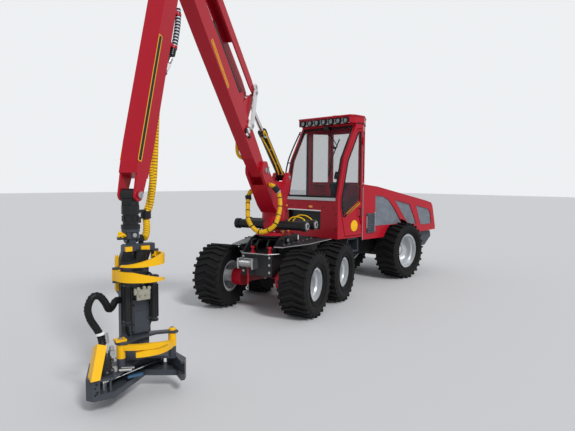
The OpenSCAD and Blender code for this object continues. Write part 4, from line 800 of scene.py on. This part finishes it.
RAIL = [(-110, -640, 2672), (60, -655, 2380), (190, -655, 2130), (262, -655, 1860), (300, -652, 1690)]
RAIL_FEET = [(-80, 2622), (200, 2100), (296, 1706)]
rail = [tube(at_rear, RAIL, 13, 10, steps=4)]
rail += [rod(at_rear, (x - 14, -600, z), (x, -650, z), 20, 10) for x, z in RAIL_FEET]
dress("grab_rail", "rear", "black_paint", rail, smooth=60)
print("panel bolts", len(PANEL_BOLTS))

# %% [markdown]
# Seven work lamps stand under the visor. Each has a black eight-sided bezel, a bright reflector and a clear
# lens. A turned profile for each is enough, because they are small in every view.

# %% Roof lamps, beacon and visor lip
LAMPS, LAMP_PITCH = 7, 160
BEZEL = [(38, -34), (58, -34), (58, 14), (50, 20), (38, 14)]
REFLECTOR = [(0, -8), (38, 6), (40, 10), (40, -34), (0, -34)]
LENS_SHAPE = [(0, 17), (20, 15), (39, 8), (39, 5), (0, 12)]
at_lamps = [placed(at_rear, -8, (i - (LAMPS - 1) / 2) * LAMP_PITCH, 2794) for i in range(LAMPS)]
for name, skin, profile, sides, smooth in (
        ("lamp_bezels", "black_paint", BEZEL, 8, 25),
        ("lamp_reflectors", "lamp_reflector", REFLECTOR, 24, 35),
        ("lamp_lenses", "clear_glass", LENS_SHAPE, 24, 35)):
    dress(name, "rear", skin, [turned(at, profile, sides, "x") for at in at_lamps], smooth=smooth)
bar = boxes(at_rear, ((-26, 0, 2753), (12, 1090, 8)), ((-38, 0, 2794), (6, 1096, 80)))
dress("lamp_bar", "rear", "pale_grey_paint", bar, bevel=1)
BEACON = [(-94, 0), (94, 0), (90, 36), (70, 56), (-70, 56), (-90, 36)]
beacon = prism(placed(at_rear, -330, 40, 2880), BEACON, -54, 54)
dress("beacon_cover", "rear", "white_plastic", [beacon], bevel=8)
LIP = [(2, -568), (2, 568), (-68, 618), (-330, 618), (-698, 388), (-698, -388), (-330, -618), (-68, -618)]
lip = tube(at_rear, [(x, y, 2868) for x, y in LIP], 15, closed=True)
dress("visor_lip", "rear", "crimson_paint", [lip], smooth=60)
DRIP = [(-140, 616), (-330, 616), (-696, 386), (-696, -386), (-330, -616), (-140, -616)]
dress("roof_seal", "rear", "seal_rubber", [tube(at_rear, [(x, y, 2752) for x, y in DRIP], 9, 6)], smooth=60)
print("lamps", LAMPS)

# %% [markdown]
# The door carries a yellow stripe, a plain yellow disc and a handle. Rubber runs round the panes of both
# sides, and a bright strip closes the gap to the hood. All are laid on the shell, which leaves the CAD's
# panels whole.

# %% Door trim and edge strips
DOOR_Y, DISC_PLACE = 607, (-113, 610, 1040)
DOOR_PANE = [
    (-262, 1438), (-262, 2622), (-200, 2606), (78, 2116), (226, 1505), (226, 1372), (184, 1210), (150, 1200)]
SIDE_PANE = [(-262, 1212), (-262, 2638), (-168, 2618), (104, 2112), (230, 1500), (230, 1212)]
DOOR_EDGE = [(-294, 884), (128, 884), (258, 1372), (258, 1508), (126, 2124), (-152, 2632), (-294, 2664)]
SLANT = [(92, 1216), (104, 1252), (-262, 1452), (-262, 1408)]
trim = [
    ("door_seal", "door", "seal_rubber", DOOR_PANE, DOOR_Y, 14, 8, 60),
    ("side_window_seal", "rear", "seal_rubber", SIDE_PANE, -DOOR_Y, 14, 8, 60),
    ("door_edge", "door", "crimson_paint", DOOR_EDGE, DOOR_Y, 6, 6, 35)]
for name, body, skin, outline, y, radius, sides, smooth in trim:
    dress(name, body, skin, [tube(at_rear, standing(outline, y), radius, sides, closed=True)], smooth=smooth)
dress("door_stripe", "door", "yellow_paint", [prism(at_rear, SLANT, 610.2, 611.4)])
at_disc = placed(at_rear, *DISC_PLACE)
disc = turned(at_disc, [(90, 0.2), (94, 1.2), (90, 2.2)], 48, solid=True)
disc_rim = turned(at_disc, [(94, 0.2), (98, 0.2), (98, 2.6), (94, 2.6)], 48)
dress("door_disc", "door", "yellow_paint", [disc])
dress("door_disc_rim", "door", "crimson_paint", [disc_rim])
handle = [rod(at_rear, (-238, 612, z), (-238, 648, z), 16, 10) for z in (1330, 1190)]
handle.append(rod(at_rear, (-238, 644, 1345), (-238, 644, 1175), 18, 12))
dress("door_handle", "door", "black_paint", handle)
for label, side in SIDES:
    strip = box(at_rear, (-331, side * 612.5, 1235), (14, 25, 910))
    dress(f"edge_strip_{label}", "rear", "worn_steel", [strip], bevel=2)
print("trim runs", len(trim))

# %% [markdown]
# Welded wire mesh covers the hood's side windows, in front of a dark blotched sheet that paints the engine
# bay behind it, its parts and the shade inside it. Drawing each wire as an edge, and giving all edges a round
# section with one tree, is far lighter than cutting holes in a sheet.

# %% Hood mesh
WINDOWS = [
    [(-700, 995), (-700, 1545), (-960, 1520), (-1120, 1460), (-1310, 1300), (-1590, 995)],
    [(-1790, 975), (-1310, 1450), (-1840, 1355), (-2110, 965)],
    [(-2260, 930), (-2070, 1330), (-2560, 1240), (-2650, 1130), (-2680, 930)]]
MESH_Y, MESH_PITCH, WIRE, RIM_Y = 603, 21, 3.1, 612


def crossings(outline, level):
    """Where a line at that level of the first coordinate meets the outline, in the second one."""
    found = []
    for p, q in around(outline):
        if (p[0] - level) * (q[0] - level) < 0:
            found.append(p[1] + (q[1] - p[1]) * (level - p[0]) / (q[0] - p[0]))
    return sorted(found)


def mesh_runs(outline, y):
    """Upright wires at every pitch, and then level ones, which are found with the coordinates swapped."""
    runs = []
    for upright in (True, False):
        line = outline if upright else [p[::-1] for p in outline]
        levels = [p[0] for p in line]
        for k in range(int((max(levels) - min(levels)) / MESH_PITCH)):
            level = min(levels) + (k + 0.6) * MESH_PITCH
            ends = crossings(line, level)
            for pair in zip(ends[::2], ends[1::2]):
                runs.append([spot(at_rear, *((level, y, b) if upright else (b, y, level))) for b in pair])
    return runs


for label, side in SIDES:
    runs = [run for outline in WINDOWS for run in mesh_runs(outline, side * MESH_Y)]
    wires(f"hood_mesh_{label}", "rear", "mesh_wire", runs, WIRE)
    rims = [tube(at_rear, standing(outline, side * RIM_Y), 9, closed=True) for outline in WINDOWS]
    dress(f"hood_window_rims_{label}", "rear", "crimson_paint", rims)
    bracket = boxes(at_rear, ((-452, side * 624, 1080), (12, 14, 210)),
                    ((-676, side * 628, 1080), (10, 22, 330)))
    dress(f"louvre_bracket_{label}", "rear", "pale_grey_paint", bracket, bevel=2)
    print("wires", label, len(runs))

# %% [markdown]
# The hood's top carries two yellow stripes and the exhaust's stub, and its rear face a grille, lamps and a
# grating to stand on. The stripes follow the top line in straight lengths, as the sheet does.

# %% Hood top and rear
TOP_LINE = [(-345, 1725), (-760, 1685), (-2440, 1402), (-2660, 1356)]
parts = []
for low, high in ((388, 530), (-530, -388)):
    for (x0, z0), (x1, z1) in zip(TOP_LINE, TOP_LINE[1:]):
        tape = [(x0, z0 + 0.2), (x1, z1 + 0.2), (x1, z1 + 1.4), (x0, z0 + 1.4)]
        parts.append(prism(at_rear, tape, low, high))
dress("hood_top_stripes", "rear", "yellow_paint", parts)
pipe = placed(at_rear, -1440, 0, 0)
dress("exhaust_stub", "rear", "worn_steel", [
    turned(pipe, [(34, 1560), (44, 1560), (44, 1665), (34, 1677)], 24, "z"),
    turned(pipe, [(44, 1568), (72, 1568), (72, 1584), (44, 1590)], 24, "z")])
top_edges = [tube(at_rear, standing(TOP_LINE, side * RIM_Y), 10) for _, side in SIDES]
dress("hood_top_edges", "rear", "crimson_paint", top_edges, smooth=60)
rear_grille = [box(at_rear, (-2842, y, 1010), (12, 16, 150)) for y in range(-420, 421, 60)]
rear_grille += [box(at_rear, (-2842, 0, z), (14, 880, 12)) for z in (935, 1085)]
dress("rear_grille", "rear", "dark_grey_paint", rear_grille, bevel=2)
rear_lamps = [box(at_rear, (-2846, y, 850), (14, 70, 70)) for y in (-520, 520)]
dress("rear_lamps", "rear", "amber_plastic", rear_lamps, bevel=5)
grating = [[spot(at_rear, x, y, 776) for x in (-2350, -2846)] for y in range(-480, 481, 40)]
grating += [[spot(at_rear, x, y, 776) for y in (-490, 490)] for x in range(-2840, -2349, 49)]
wires("bumper_grating", "rear", "worn_steel", grating, 5)
bolts("rear", at_rear, [(-2870, y, 700) for y in (-470, -300, 300, 470)], (-1, 0, 0), 26)
print("grating wires", len(grating))

# %% [markdown]
# The seat's cushions are real padding: a plain shape is remeshed, blown up a little by cloth pressure and
# smoothed, so that the edges crown and the corners pull in. A bevelled box would keep straight sides, which
# padding never has.

# %% Seat
SWELL, VOXEL, PRESSURE, CLOTH_FRAMES, RECLINE = 0.020, 0.011, 4, 20, math.radians(-12)


def cushion(name, parts):
    piece = dress(name, "rear", "seat_cloth", parts)
    remesh = piece.modifiers.new("even_skin", "REMESH")
    remesh.mode, remesh.voxel_size = "VOXEL", VOXEL
    skin = applied(piece)
    first = [v.co.copy() for v in skin.vertices]
    cloth = piece.modifiers.new("padding", "CLOTH")
    cloth.settings.use_pressure = True
    cloth.settings.uniform_pressure_force = PRESSURE
    cloth.settings.effector_weights.gravity = 0
    cloth.settings.quality = 5
    for step in range(CLOTH_FRAMES):
        scene.frame_set(step + 1)
    blown = piece.evaluated_get(bpy.context.evaluated_depsgraph_get()).data
    moved = [v.co.copy() for v in blown.vertices]
    piece.modifiers.clear()
    scene.frame_set(1)
    for v, start, there in zip(skin.vertices, first, moved):
        push = there - start
        v.co = start + push * min(1, SWELL / max(push.length, 1e-6))
    fine = piece.modifiers.new("fine", "SUBSURF")
    fine.levels = fine.render_levels = 1
    shade(applied(piece), "seat_cloth", 180)
    print(name, len(piece.data.polygons), "faces")
    return piece


HALF_BACK = [(180, 40), (196, 130), (150, 300), (158, 400), (200, 545), (186, 590)]
BACK = [(-180, 40), *HALF_BACK, *[(-y, z) for y, z in HALF_BACK[:0:-1]]]
BASE = [(-300, 1204), (30, 1204), (38, 1232), (20, 1266), (-300, 1256)]
HEADREST = [(-118, 20), (118, 20), (104, 158), (-104, 158)]
at_back = placed(at_rear, -330, 0, 1200, RECLINE, "Y")
at_rest = placed(at_rear, -450, 0, 1800, RECLINE, "Y")
cushion("seat_back", [prism(at_back, BACK, -36, 36, "x")])
base = cushion("seat_base", [prism(at_rear, BASE, -215, 215)])
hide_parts("seat")
cushion("seat_headrest", [prism(at_rest, HEADREST, -26, 26, "x")])

# %% [markdown]
# Under the cushions stands a pedestal with rubber bellows, and the armrests end in small levers. The belt
# is a flat strap, made directly, because a remesh would swallow it.

# %% Seat frame
bellows = [pair for z in range(884, 1105, 44) for pair in ((118, z), (140, z + 22))]
pedestal = [turned(placed(at_rear, -150, 0, 0), [(118, 874), *bellows, (118, 1160)], 24, "z", solid=True)]
pedestal += boxes(at_rear, ((-140, 0, 1180), (330, 400, 28)), ((-322, 0, 1240), (26, 300, 120)))
dress("seat_pedestal", "rear", "cab_plastic", pedestal, bevel=3)
ARMREST = [(-225, 1340), (20, 1340), (44, 1362), (40, 1384), (-215, 1386), (-228, 1370)]
LEVER_RADII = [20, 19, 18, 18, 20, 23, 24]
for label, side in SIDES:
    y = side * 285
    rest = [prism(at_rear, ARMREST, y - 34, y + 34), box(at_rear, (-180, side * 262, 1285), (44, 26, 130))]
    stalk = [(12, y, 1380), (18, y, 1420), (14, side * 283, 1450)]
    rest.append(tube(at_rear, stalk, LEVER_RADII, 10, steps=3))
    dress(f"armrest_{label}", "rear", "cab_plastic", rest, bevel=6)
dress("seat_belt", "rear", "black_hose_skin", [box(at_back, (7, -178, 62), (74, 36, 4))])
print("bellows rings", len(bellows) // 2)

# %% [markdown]
# Wheels get what turns with them: hub caps, nuts, a valve and the moulded rings on the tyre's wall. The
# nuts are points on a circle, so that the bolt tree can place them all. A wheel on the right is the left
# one turned round, not mirrored, which keeps its faces outward.

# %% Wheels
NUTS = 10
WHEELS = [
    ("front", at_front, 2145, 655, 440, 197, -20, 410), ("mid", at_front, 1105, 655, 440, 197, -20, 410),
    ("rear", at_rear, -1485, 628.5, 510, 286, -30, 447)]
for row, at, x, y, z, rim_r, dish, width in WHEELS:
    hub, half = rim_r * 0.28, width / 2
    wall = z - 26 - rim_r
    cap = [(hub * 0.62, dish + 46), (hub * 0.62, dish + 60), (hub * 0.5, dish + 66)]
    collar = [(hub * 0.98, dish + 2), (hub + 14, dish + 2), (hub + 14, dish + 40), (hub * 0.98, dish + 52)]
    for label, side in SIDES:
        at_wheel = placed(at, x, side * y, z, 0 if side > 0 else math.pi)
        body = f"wheel_{row}_{label}"
        bolts(body, at_wheel, [(a, dish + 3, b) for a, b in ring(NUTS, rim_r * 0.40, 0.5)], (0, 1, 0), 26)
        cap_skin = "silver_rim_paint" if row == "rear" else "worn_steel"
        dress(f"hub_cap_{row}_{label}", body, cap_skin, [turned(at_wheel, cap, solid=True)])
        dress(f"hub_ring_{row}_{label}", body, "black_paint", [turned(at_wheel, collar, 40)])
        rings = []
        for r, out in ((rim_r + 40, half * 0.90), (rim_r + wall * 0.38, half * 0.972)):
            moulding = [(r - 4, out - 4), (r - 3, out + 3), (r + 3, out + 4), (r + 5, out - 4)]
            rings.append(turned(at_wheel, moulding, 64))
        dress(f"tyre_rings_{row}_{label}", body, "tyre_rubber", rings, smooth=60)
        valve = tube(at_wheel, [(rim_r * 0.86, half * 0.5, 0), (rim_r * 0.80, half * 0.5 + 34, 0)], 6)
        dress(f"valve_{row}_{label}", body, "black_hose_skin", [valve])
print("wheels", 2 * len(WHEELS))

# %% [markdown]
# The front frame is where oil, cable and rope meet: couplings round the slew house, worn edges on the deck,
# and rows of bolts. Wear could be in the paint's material, but a thin bare rod along each edge shows from
# every distance.

# %% Front frame
couplings = [rod(at_front, (2150, y, 920), (2196, y, 900), 20, 12) for y in range(-352, -270, 27)]
dust_caps = [rod(at_front, (2196, y, 900), (2222, y, 888), 24, 12) for y in range(-352, -270, 27)]
for y, z in ((-190, 905), (-150, 930), (160, 905), (196, 925)):
    couplings.append(rod(at_front, (1905, y, z), (1990, y, z - 24), 26, 12))
dress("couplings", "front", "worn_steel", couplings, bevel=2)
dress("coupling_caps", "front", "black_paint", dust_caps, bevel=2)
WING_EDGE = [(2276, 262), (2275, 394), (1745, 545), (1045, 585)]
FRONT_LIP = [(2205, -300), (2328, -202), (2328, 202), (2205, 300)]
worn = [tube(at_front, [(x, side * y, 908) for x, y in WING_EDGE], 7.5, 6) for _, side in SIDES]
worn.append(tube(at_front, [(x, y, 807) for x, y in FRONT_LIP], 8.5, 6))
dress("worn_deck_edges", "front", "worn_steel", worn)
for _, side in SIDES:
    bolts("front", at_front, [(x, side * 300, 915) for x in range(1150, 2200, 150)], (0, 0, 1), 22)
    bolts("front", at_front, [(x, side * 229, 850) for x in range(1700, 2150, 120)], (0, side, 0), 22)
bolts("front", at_front, [(2292, y, z) for y in (-200, 200) for z in (560, 660, 760)], (1, 0, 0), 26)
POST = [(15, 812), (34, 812), (34, 824), (17, 832), (17, 872), (27, 878), (27, 901), (22, 906), (15, 906)]
posts = [turned(placed(at_front, 2280, y, 0), POST, 28, "z") for y in (-60, 200)]
dress("deck_posts", "front", "crimson_paint", posts, smooth=50)
print("couplings", len(couplings))

# %% [markdown]
# Two crosswise racks turn the crane. Each tube end has a bright ring of bolts round a black face, and a red
# cover hides the pinion between them. Thin yellow hoses feed the racks, and black ones run over the deck.

# %% Slew house and racks
RACK_Z, RACK_MID = 1172, 32
at_slew = placed(at_front, SLEW_X, 0, 0)
bolts("front", at_slew, [(x, y, 1085) for x, y in ring(12, 216)], (0, 0, 1), 27)
rack_ends, rack_faces = [], []
for x in (-148, 148):
    for _, side in SIDES:
        at_end = placed(at_slew, x, RACK_MID + side * 556, RACK_Z)
        bezel = [(30, 0), (54, 0), (54, side * 8), (44, side * 16), (30, side * 16)]
        rack_ends.append(turned(at_end, bezel))
        rack_faces.append(turned(at_end, [(30, 0), (30, side * 6)], 24, solid=True))
        bolts("front", at_end, [(a, side * 16, b) for a, b in ring(6, 42)], (0, side, 0), 14)
dress("rack_end_rings", "front", "worn_steel", rack_ends)
dress("rack_end_faces", "front", "black_paint", rack_faces)
at_pinion = placed(at_slew, 230, RACK_MID, RACK_Z)
pinion = turned(at_pinion, [(64, 0), (64, 8), (54, 14)], 40, "x", solid=True)
dress("pinion_cover", "front", "crimson_paint", [pinion])
bolts("front", at_pinion, [(10, a, b) for a, b in ring(8, 56)], (1, 0, 0), 14, "black_paint")
FEED_A = [(1930, 190, 1010), (1900, 300, 1250), (1890, 420, 1290), (1900, 520, 1262), (1930, 540, 1240)]
FEED_B = [(1760, 180, 1010), (1700, 300, 1270), (1690, 430, 1300), (1700, 520, 1268), (1676, 540, 1240)]
hose("rack_feed_a", at_front, FEED_A, 18, YELLOW, "front")
hose("rack_feed_b", at_front, FEED_B, 18, YELLOW, "front")
SLEW_HOSES = [(1900, -190), (1960, -150), (1960, 150), (1900, 190), (2010, 60), (2010, -60)]
DROP = [(0, 1, 930), (40, 1.1, 965), (90, 1.35, 950), (130, 1.35, 890), (130, 1.2, 824)]
for k, (x, y) in enumerate(SLEW_HOSES):
    run = [(x + ahead_by, y * spread, z) for ahead_by, spread, z in DROP]
    hose(f"slew_hose_{k}", at_front, run, 24, "black_hose_skin", "front")
bosses = []
for _, side in SIDES:
    boss = [(30, 0), (30, side * 10), (22, side * 16)]
    bosses.append(turned(placed(at_slew, 30, side * 240, 950), boss, 28, solid=True))
dress("slew_side_bosses", "front", "worn_steel", bosses)
print("slew hoses", len(SLEW_HOSES))

# %% [markdown]
# The winch hangs on the front plate, with a short red strap down to its hook. A helix would be the true
# form of its rope, but at this size a row of turned rings looks the same and is closed.

# %% Winch
ROPE = [(2365, -78, 700), (2378, -76, 560), (2382, -74, 470), (2384, -74, 400)]
WINCH_HOOK = [(2384, -74, 400), (2384, -84, 372), (2384, -104, 352), (2384, -90, 330), (2384, -66, 340)]
ROPE_RING, TURNS = [(44, -5), (50, -4), (52, 0), (50, 4), (44, 5)], 15
dress("winch_rope", "front", "crimson_paint", [tube(at_front, ROPE, 11, steps=4)])
dress("winch_hook", "front", "worn_steel", [tube(at_front, WINCH_HOOK, 8, steps=4)])
turns = [turned(placed(at_front, 2365, -100 + (k - 7) * 12, 675), ROPE_RING, 28) for k in range(TURNS)]
dress("winch_turns", "front", "worn_steel", turns, smooth=60)
print("rope turns", TURNS)

# %% [markdown]
# The head carries its valve block, tilt cylinder, feed motors and hoses in the open, as small turned and
# boxed parts. Their bevels matter more than their exact form, because the light on a broken edge is what
# shows at this size.

# %% Head: valves, tilt and feed
blocks = boxes(at_head, ((-28, 100, 850), (70, 120, 90)), ((-20, 176, 870), (54, 40, 60)),
               ((-20, 40, 880), (54, 44, 56)))
blocks += rods(at_head, ((4, 50, 905), (26, 50, 905), 30), ((4, 96, 912), (34, 96, 912), 28),
               ((4, 140, 905), (30, 140, 905), 30), ((-20, 196, 880), (-20, 226, 880), 30),
               ((2, 74, 838), (24, 74, 838), 24), ((2, 122, 838), (24, 122, 838), 24))
dress("valve_block", "head", "brass_fitting", blocks, bevel=4)
tilt = rods(at_head, ((66, 60, 1118), (66, 60, 1222), 86), ((66, 60, 1222), (66, 60, 1236), 96),
            ((66, 60, 1108), (66, 60, 1122), 98), sides=28)
tilt.append(box(at_head, (20, 60, 1180), (70, 60, 60)))
dress("tilt_cylinder", "head", "black_paint", tilt, bevel=3)
TILT_BOLTS = [(-20, 1210), (150, 1204), (-56, 1160), (160, 1160)]
bolts("head", at_head, [(77, y, z) for y, z in TILT_BOLTS], (1, 0, 0), 22, "black_paint")

MOTOR_TOP = [(34, 975), (40, 985), (40, 1000), (28, 1006)]
MOTOR_FOOT = [(0, 616), (30, 616), (34, 622), (34, 634), (0, 636)]
for label, x, y, guard in (("right", 10, -38, 30), ("left", 2, 193, -24)):
    at_motor = placed(at_head, x, y, 0)
    motor = [turned(at_motor, MOTOR_TOP, 28, "z", solid=True), turned(at_motor, MOTOR_FOOT, 28, "z")]
    dress(f"feed_motor_{label}", "head", "black_paint", motor, smooth=40)
    plate = box(at_head, (-46, y + guard, 800), (20, 14, 330))
    dress(f"feed_guard_{label}", "head", "dark_grey_paint", [plate], bevel=3)
    upper = [
        (x - 30, y, 990), (x - 52, y * 0.8 + 10, 1015), (-60, y * 0.6 + 20, 960), (-50, y * 0.5 + 30, 900)]
    lower = [
        (x - 34, y + 12, 625), (x - 60, y * 0.9 + 12, 600), (-52, y * 0.8 + 12, 560),
        (-50, y * 0.6 + 20, 500)]
    feeds = [tube(at_head, upper, 11, 10, steps=5), tube(at_head, lower, 10, 10, steps=5)]
    dress(f"feed_hoses_{label}", "head", "black_hose_skin", feeds, smooth=60)

# %% [markdown]
# The yoke turns with the rotator, and the head tilts under it. Two short hoses cross that joint, so they are
# given the rotator and the head as the crane's hoses are, and are baked where they lie.

# %% Head: yoke
YOKE_ENDS = [(20, -70, 1352), (0, -84, 1366), (-20, -72, 1352), (12, -90, 1345)]
ends = []
for x, y, z in YOKE_ENDS:
    ends.append(tube(at_head, [(x, y + 22, z - 8), (x + 4, y, z + 6), (x - 8, y - 14, z - 6)], 11, steps=3))
dress("yoke_hose_ends", "rotator", YELLOW, ends, smooth=60)
pins = rods(at_head, ((-30, 56, 1330), (-30, 70, 1330), 22), ((0, 54, 1330), (0, 66, 1330), 44),
            ((66, 6, 1352), (74, 6, 1352), 34))
dress("yoke_tilt_pin", "rotator", "worn_steel", pins, bevel=2)
hose_block = boxes(at_head, ((-16, 92, 1318), (44, 46, 54)), ((-10, 66, 1336), (30, 30, 24)))
dress("hose_block", "rotator", "black_paint", hose_block, bevel=4)
YOKE_HOSES = [
    [(-16, 96, 1296), (-10, 110, 1250), (-30, 120, 1190), (-60, 100, 1140)],
    [(-26, 84, 1296), (-40, 92, 1240), (-58, 80, 1180), (-80, 60, 1120)]]
yoke_joint = ("rotator", "head", spot(at_head, -16, 96, 1296), spot(at_head, -40, 100, 1190))
yoke_runs = [tube(at_head, run, 12, 10, steps=5) for run in YOKE_HOSES]
dress("yoke_hoses", None, "black_hose_skin", yoke_runs, smooth=60, between=yoke_joint)
print("yoke hoses", len(YOKE_HOSES))

# %% [markdown]
# The thick black hose loops out beside the head and feeds the saw's motor, on the path of the CAD's plain
# hose. Below it lie the motor's rings, its fittings, and the clamp of the saw bar in blued steel.

# %% Head: saw
HEAD_HOSE = [
    (-80, -68.3, 812), (-80, -80.3, 812), (-80, -94.3, 812), (-77, -108.3, 805), (-50, -146, 769),
    (-30, -178, 765), (0, -216, 830), (4, -262, 886), (10, -318, 882), (16, -354, 800), (20, -336, 715),
    (24, -300, 650), (30, -270, 590), (34, -258, 542), (50, -260, 499.3), (50, -260, 483.3),
    (50, -260, 470.7)]
sleeve = hose("head_hose_sleeve", at_head, HEAD_HOSE, 52, TAPE, "head", pitch=24, rib=0.7, proud=0.11)
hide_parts("hose_head")
tubes = rods(at_head, ((62, -236, 600), (66, -226, 520), 20), ((44, -222, 596), (50, -214, 520), 20),
             sides=12)
dress("saw_hose_tubes", "head", "worn_steel", tubes, bevel=1)
collar = rod(at_head, (34, -270, 606), (36, -266, 586), 72, 16)
dress("saw_hose_collar", "head", "white_plastic", [collar], bevel=2)
at_saw = placed(at_head, 70, -250, 0)
SAW_RING = [(50, 0), (56, 3), (56, 9), (50, 12)]
saw_rings = [turned(placed(at_saw, 0, 0, z), SAW_RING, 32, "z") for z in (330, 360, 390)]
dress("saw_motor_rings", "head", "black_paint", saw_rings)
bolts("head", at_saw, [(x, y, 308) for x, y in ring(6, 52)], (0, 0, 1), 15)
fitting = [
    rod(at_head, (92, -202, 470), (92, -202, 500), 34, 16), box(at_head, (88, -200, 448), (50, 44, 40)),
    rod(at_head, (112, -196, 400), (138, -190, 396), 26, 12)]
dress("saw_motor_fitting", "head", "worn_steel", fitting, bevel=3)
shelf = rods(at_head, ((100, -150, 296), (140, -60, 296), 24), ((70, -120, 300), (120, -30, 300), 18),
             sides=12)
shelf.append(rod(at_head, (96, -180, 296), (96, -180, 330), 40))
dress("saw_shelf_parts", "head", "worn_steel", shelf, bevel=2)
dress("saw_bar_clamp", "head", "blue_steel", [box(at_head, (57, -5, 211), (34, 130, 22))], bevel=3)

# %% [markdown]
# The last small parts of the head are a yellow cap on the low knife's pin, the bolts of the covers, ribs
# that stiffen the spine, and the toothed wheel that measures the stem's length.

# %% Head: caps, bolts and ribs
cap = turned(placed(at_head, 0, 354, 0), [(30, 508), (30, 522), (22, 530)], 28, "z", solid=True)
dress("low_pin_caps", "head", "yellow_paint", [cap], smooth=40)
bolts("head", at_head, [(0, 354, 530), (40, -110, 530)], (0, 0, 1), 26)
COVER_BOLTS = [(-35, y, z) for z in (535, 600, 760) for y in (30, 166)]
GUARD_BOLTS = [(168, -345, 180), (168, -345, 250), (168, -260, 130)]
bolts("head", at_head, COVER_BOLTS, (1, 0, 0), 15, "black_paint")
bolts("head", at_head, GUARD_BOLTS, (1, 0, 0), 16, "black_paint")
spine = boxes(at_head, ((-66, -62, 1010), (30, 12, 180)), ((-66, 166, 1010), (30, 12, 180)),
              ((-40, 52, 1040), (20, 200, 14)))
dress("spine_ribs", "head", "dark_grey_paint", spine, bevel=2)
MEASURER = [(8, -8), (40, -8), (44, 0), (40, 8), (8, 8)]
measurer = turned(placed(at_head, -36, 105, 960), MEASURER, 24)
dress("measuring_wheel", "head", "worn_steel", [measurer], smooth=20)
print("cover bolts", len(COVER_BOLTS))

# %% [markdown]
# All the bolts written down above are grown now, one mesh for each body and finish. A mesh's attributes are
# looked up by name each time, because making a second one moves the first one's data.

# %% Bolts
HEAD_HEIGHT = 0.62
for (body, skin), rows in bolt_places.items():
    mesh = bpy.data.meshes.new("places")
    mesh.from_pydata([place for place, _, _ in rows], [], [])
    mesh.attributes.new("axis", "FLOAT_VECTOR", "POINT")
    mesh.attributes.new("width", "FLOAT", "POINT")
    for i, (_, way, size) in enumerate(rows):
        mesh.attributes["axis"].data[i].vector = way
        mesh.attributes["width"].data[i].value = size
    label = f"bolts_{body}_{skin.split('_')[0]}"
    grow(label, body, skin, mesh, bolt_tree, {"Head Height": HEAD_HEIGHT}, smooth=30)
print("bolts", sum(len(rows) for rows in bolt_places.values()))
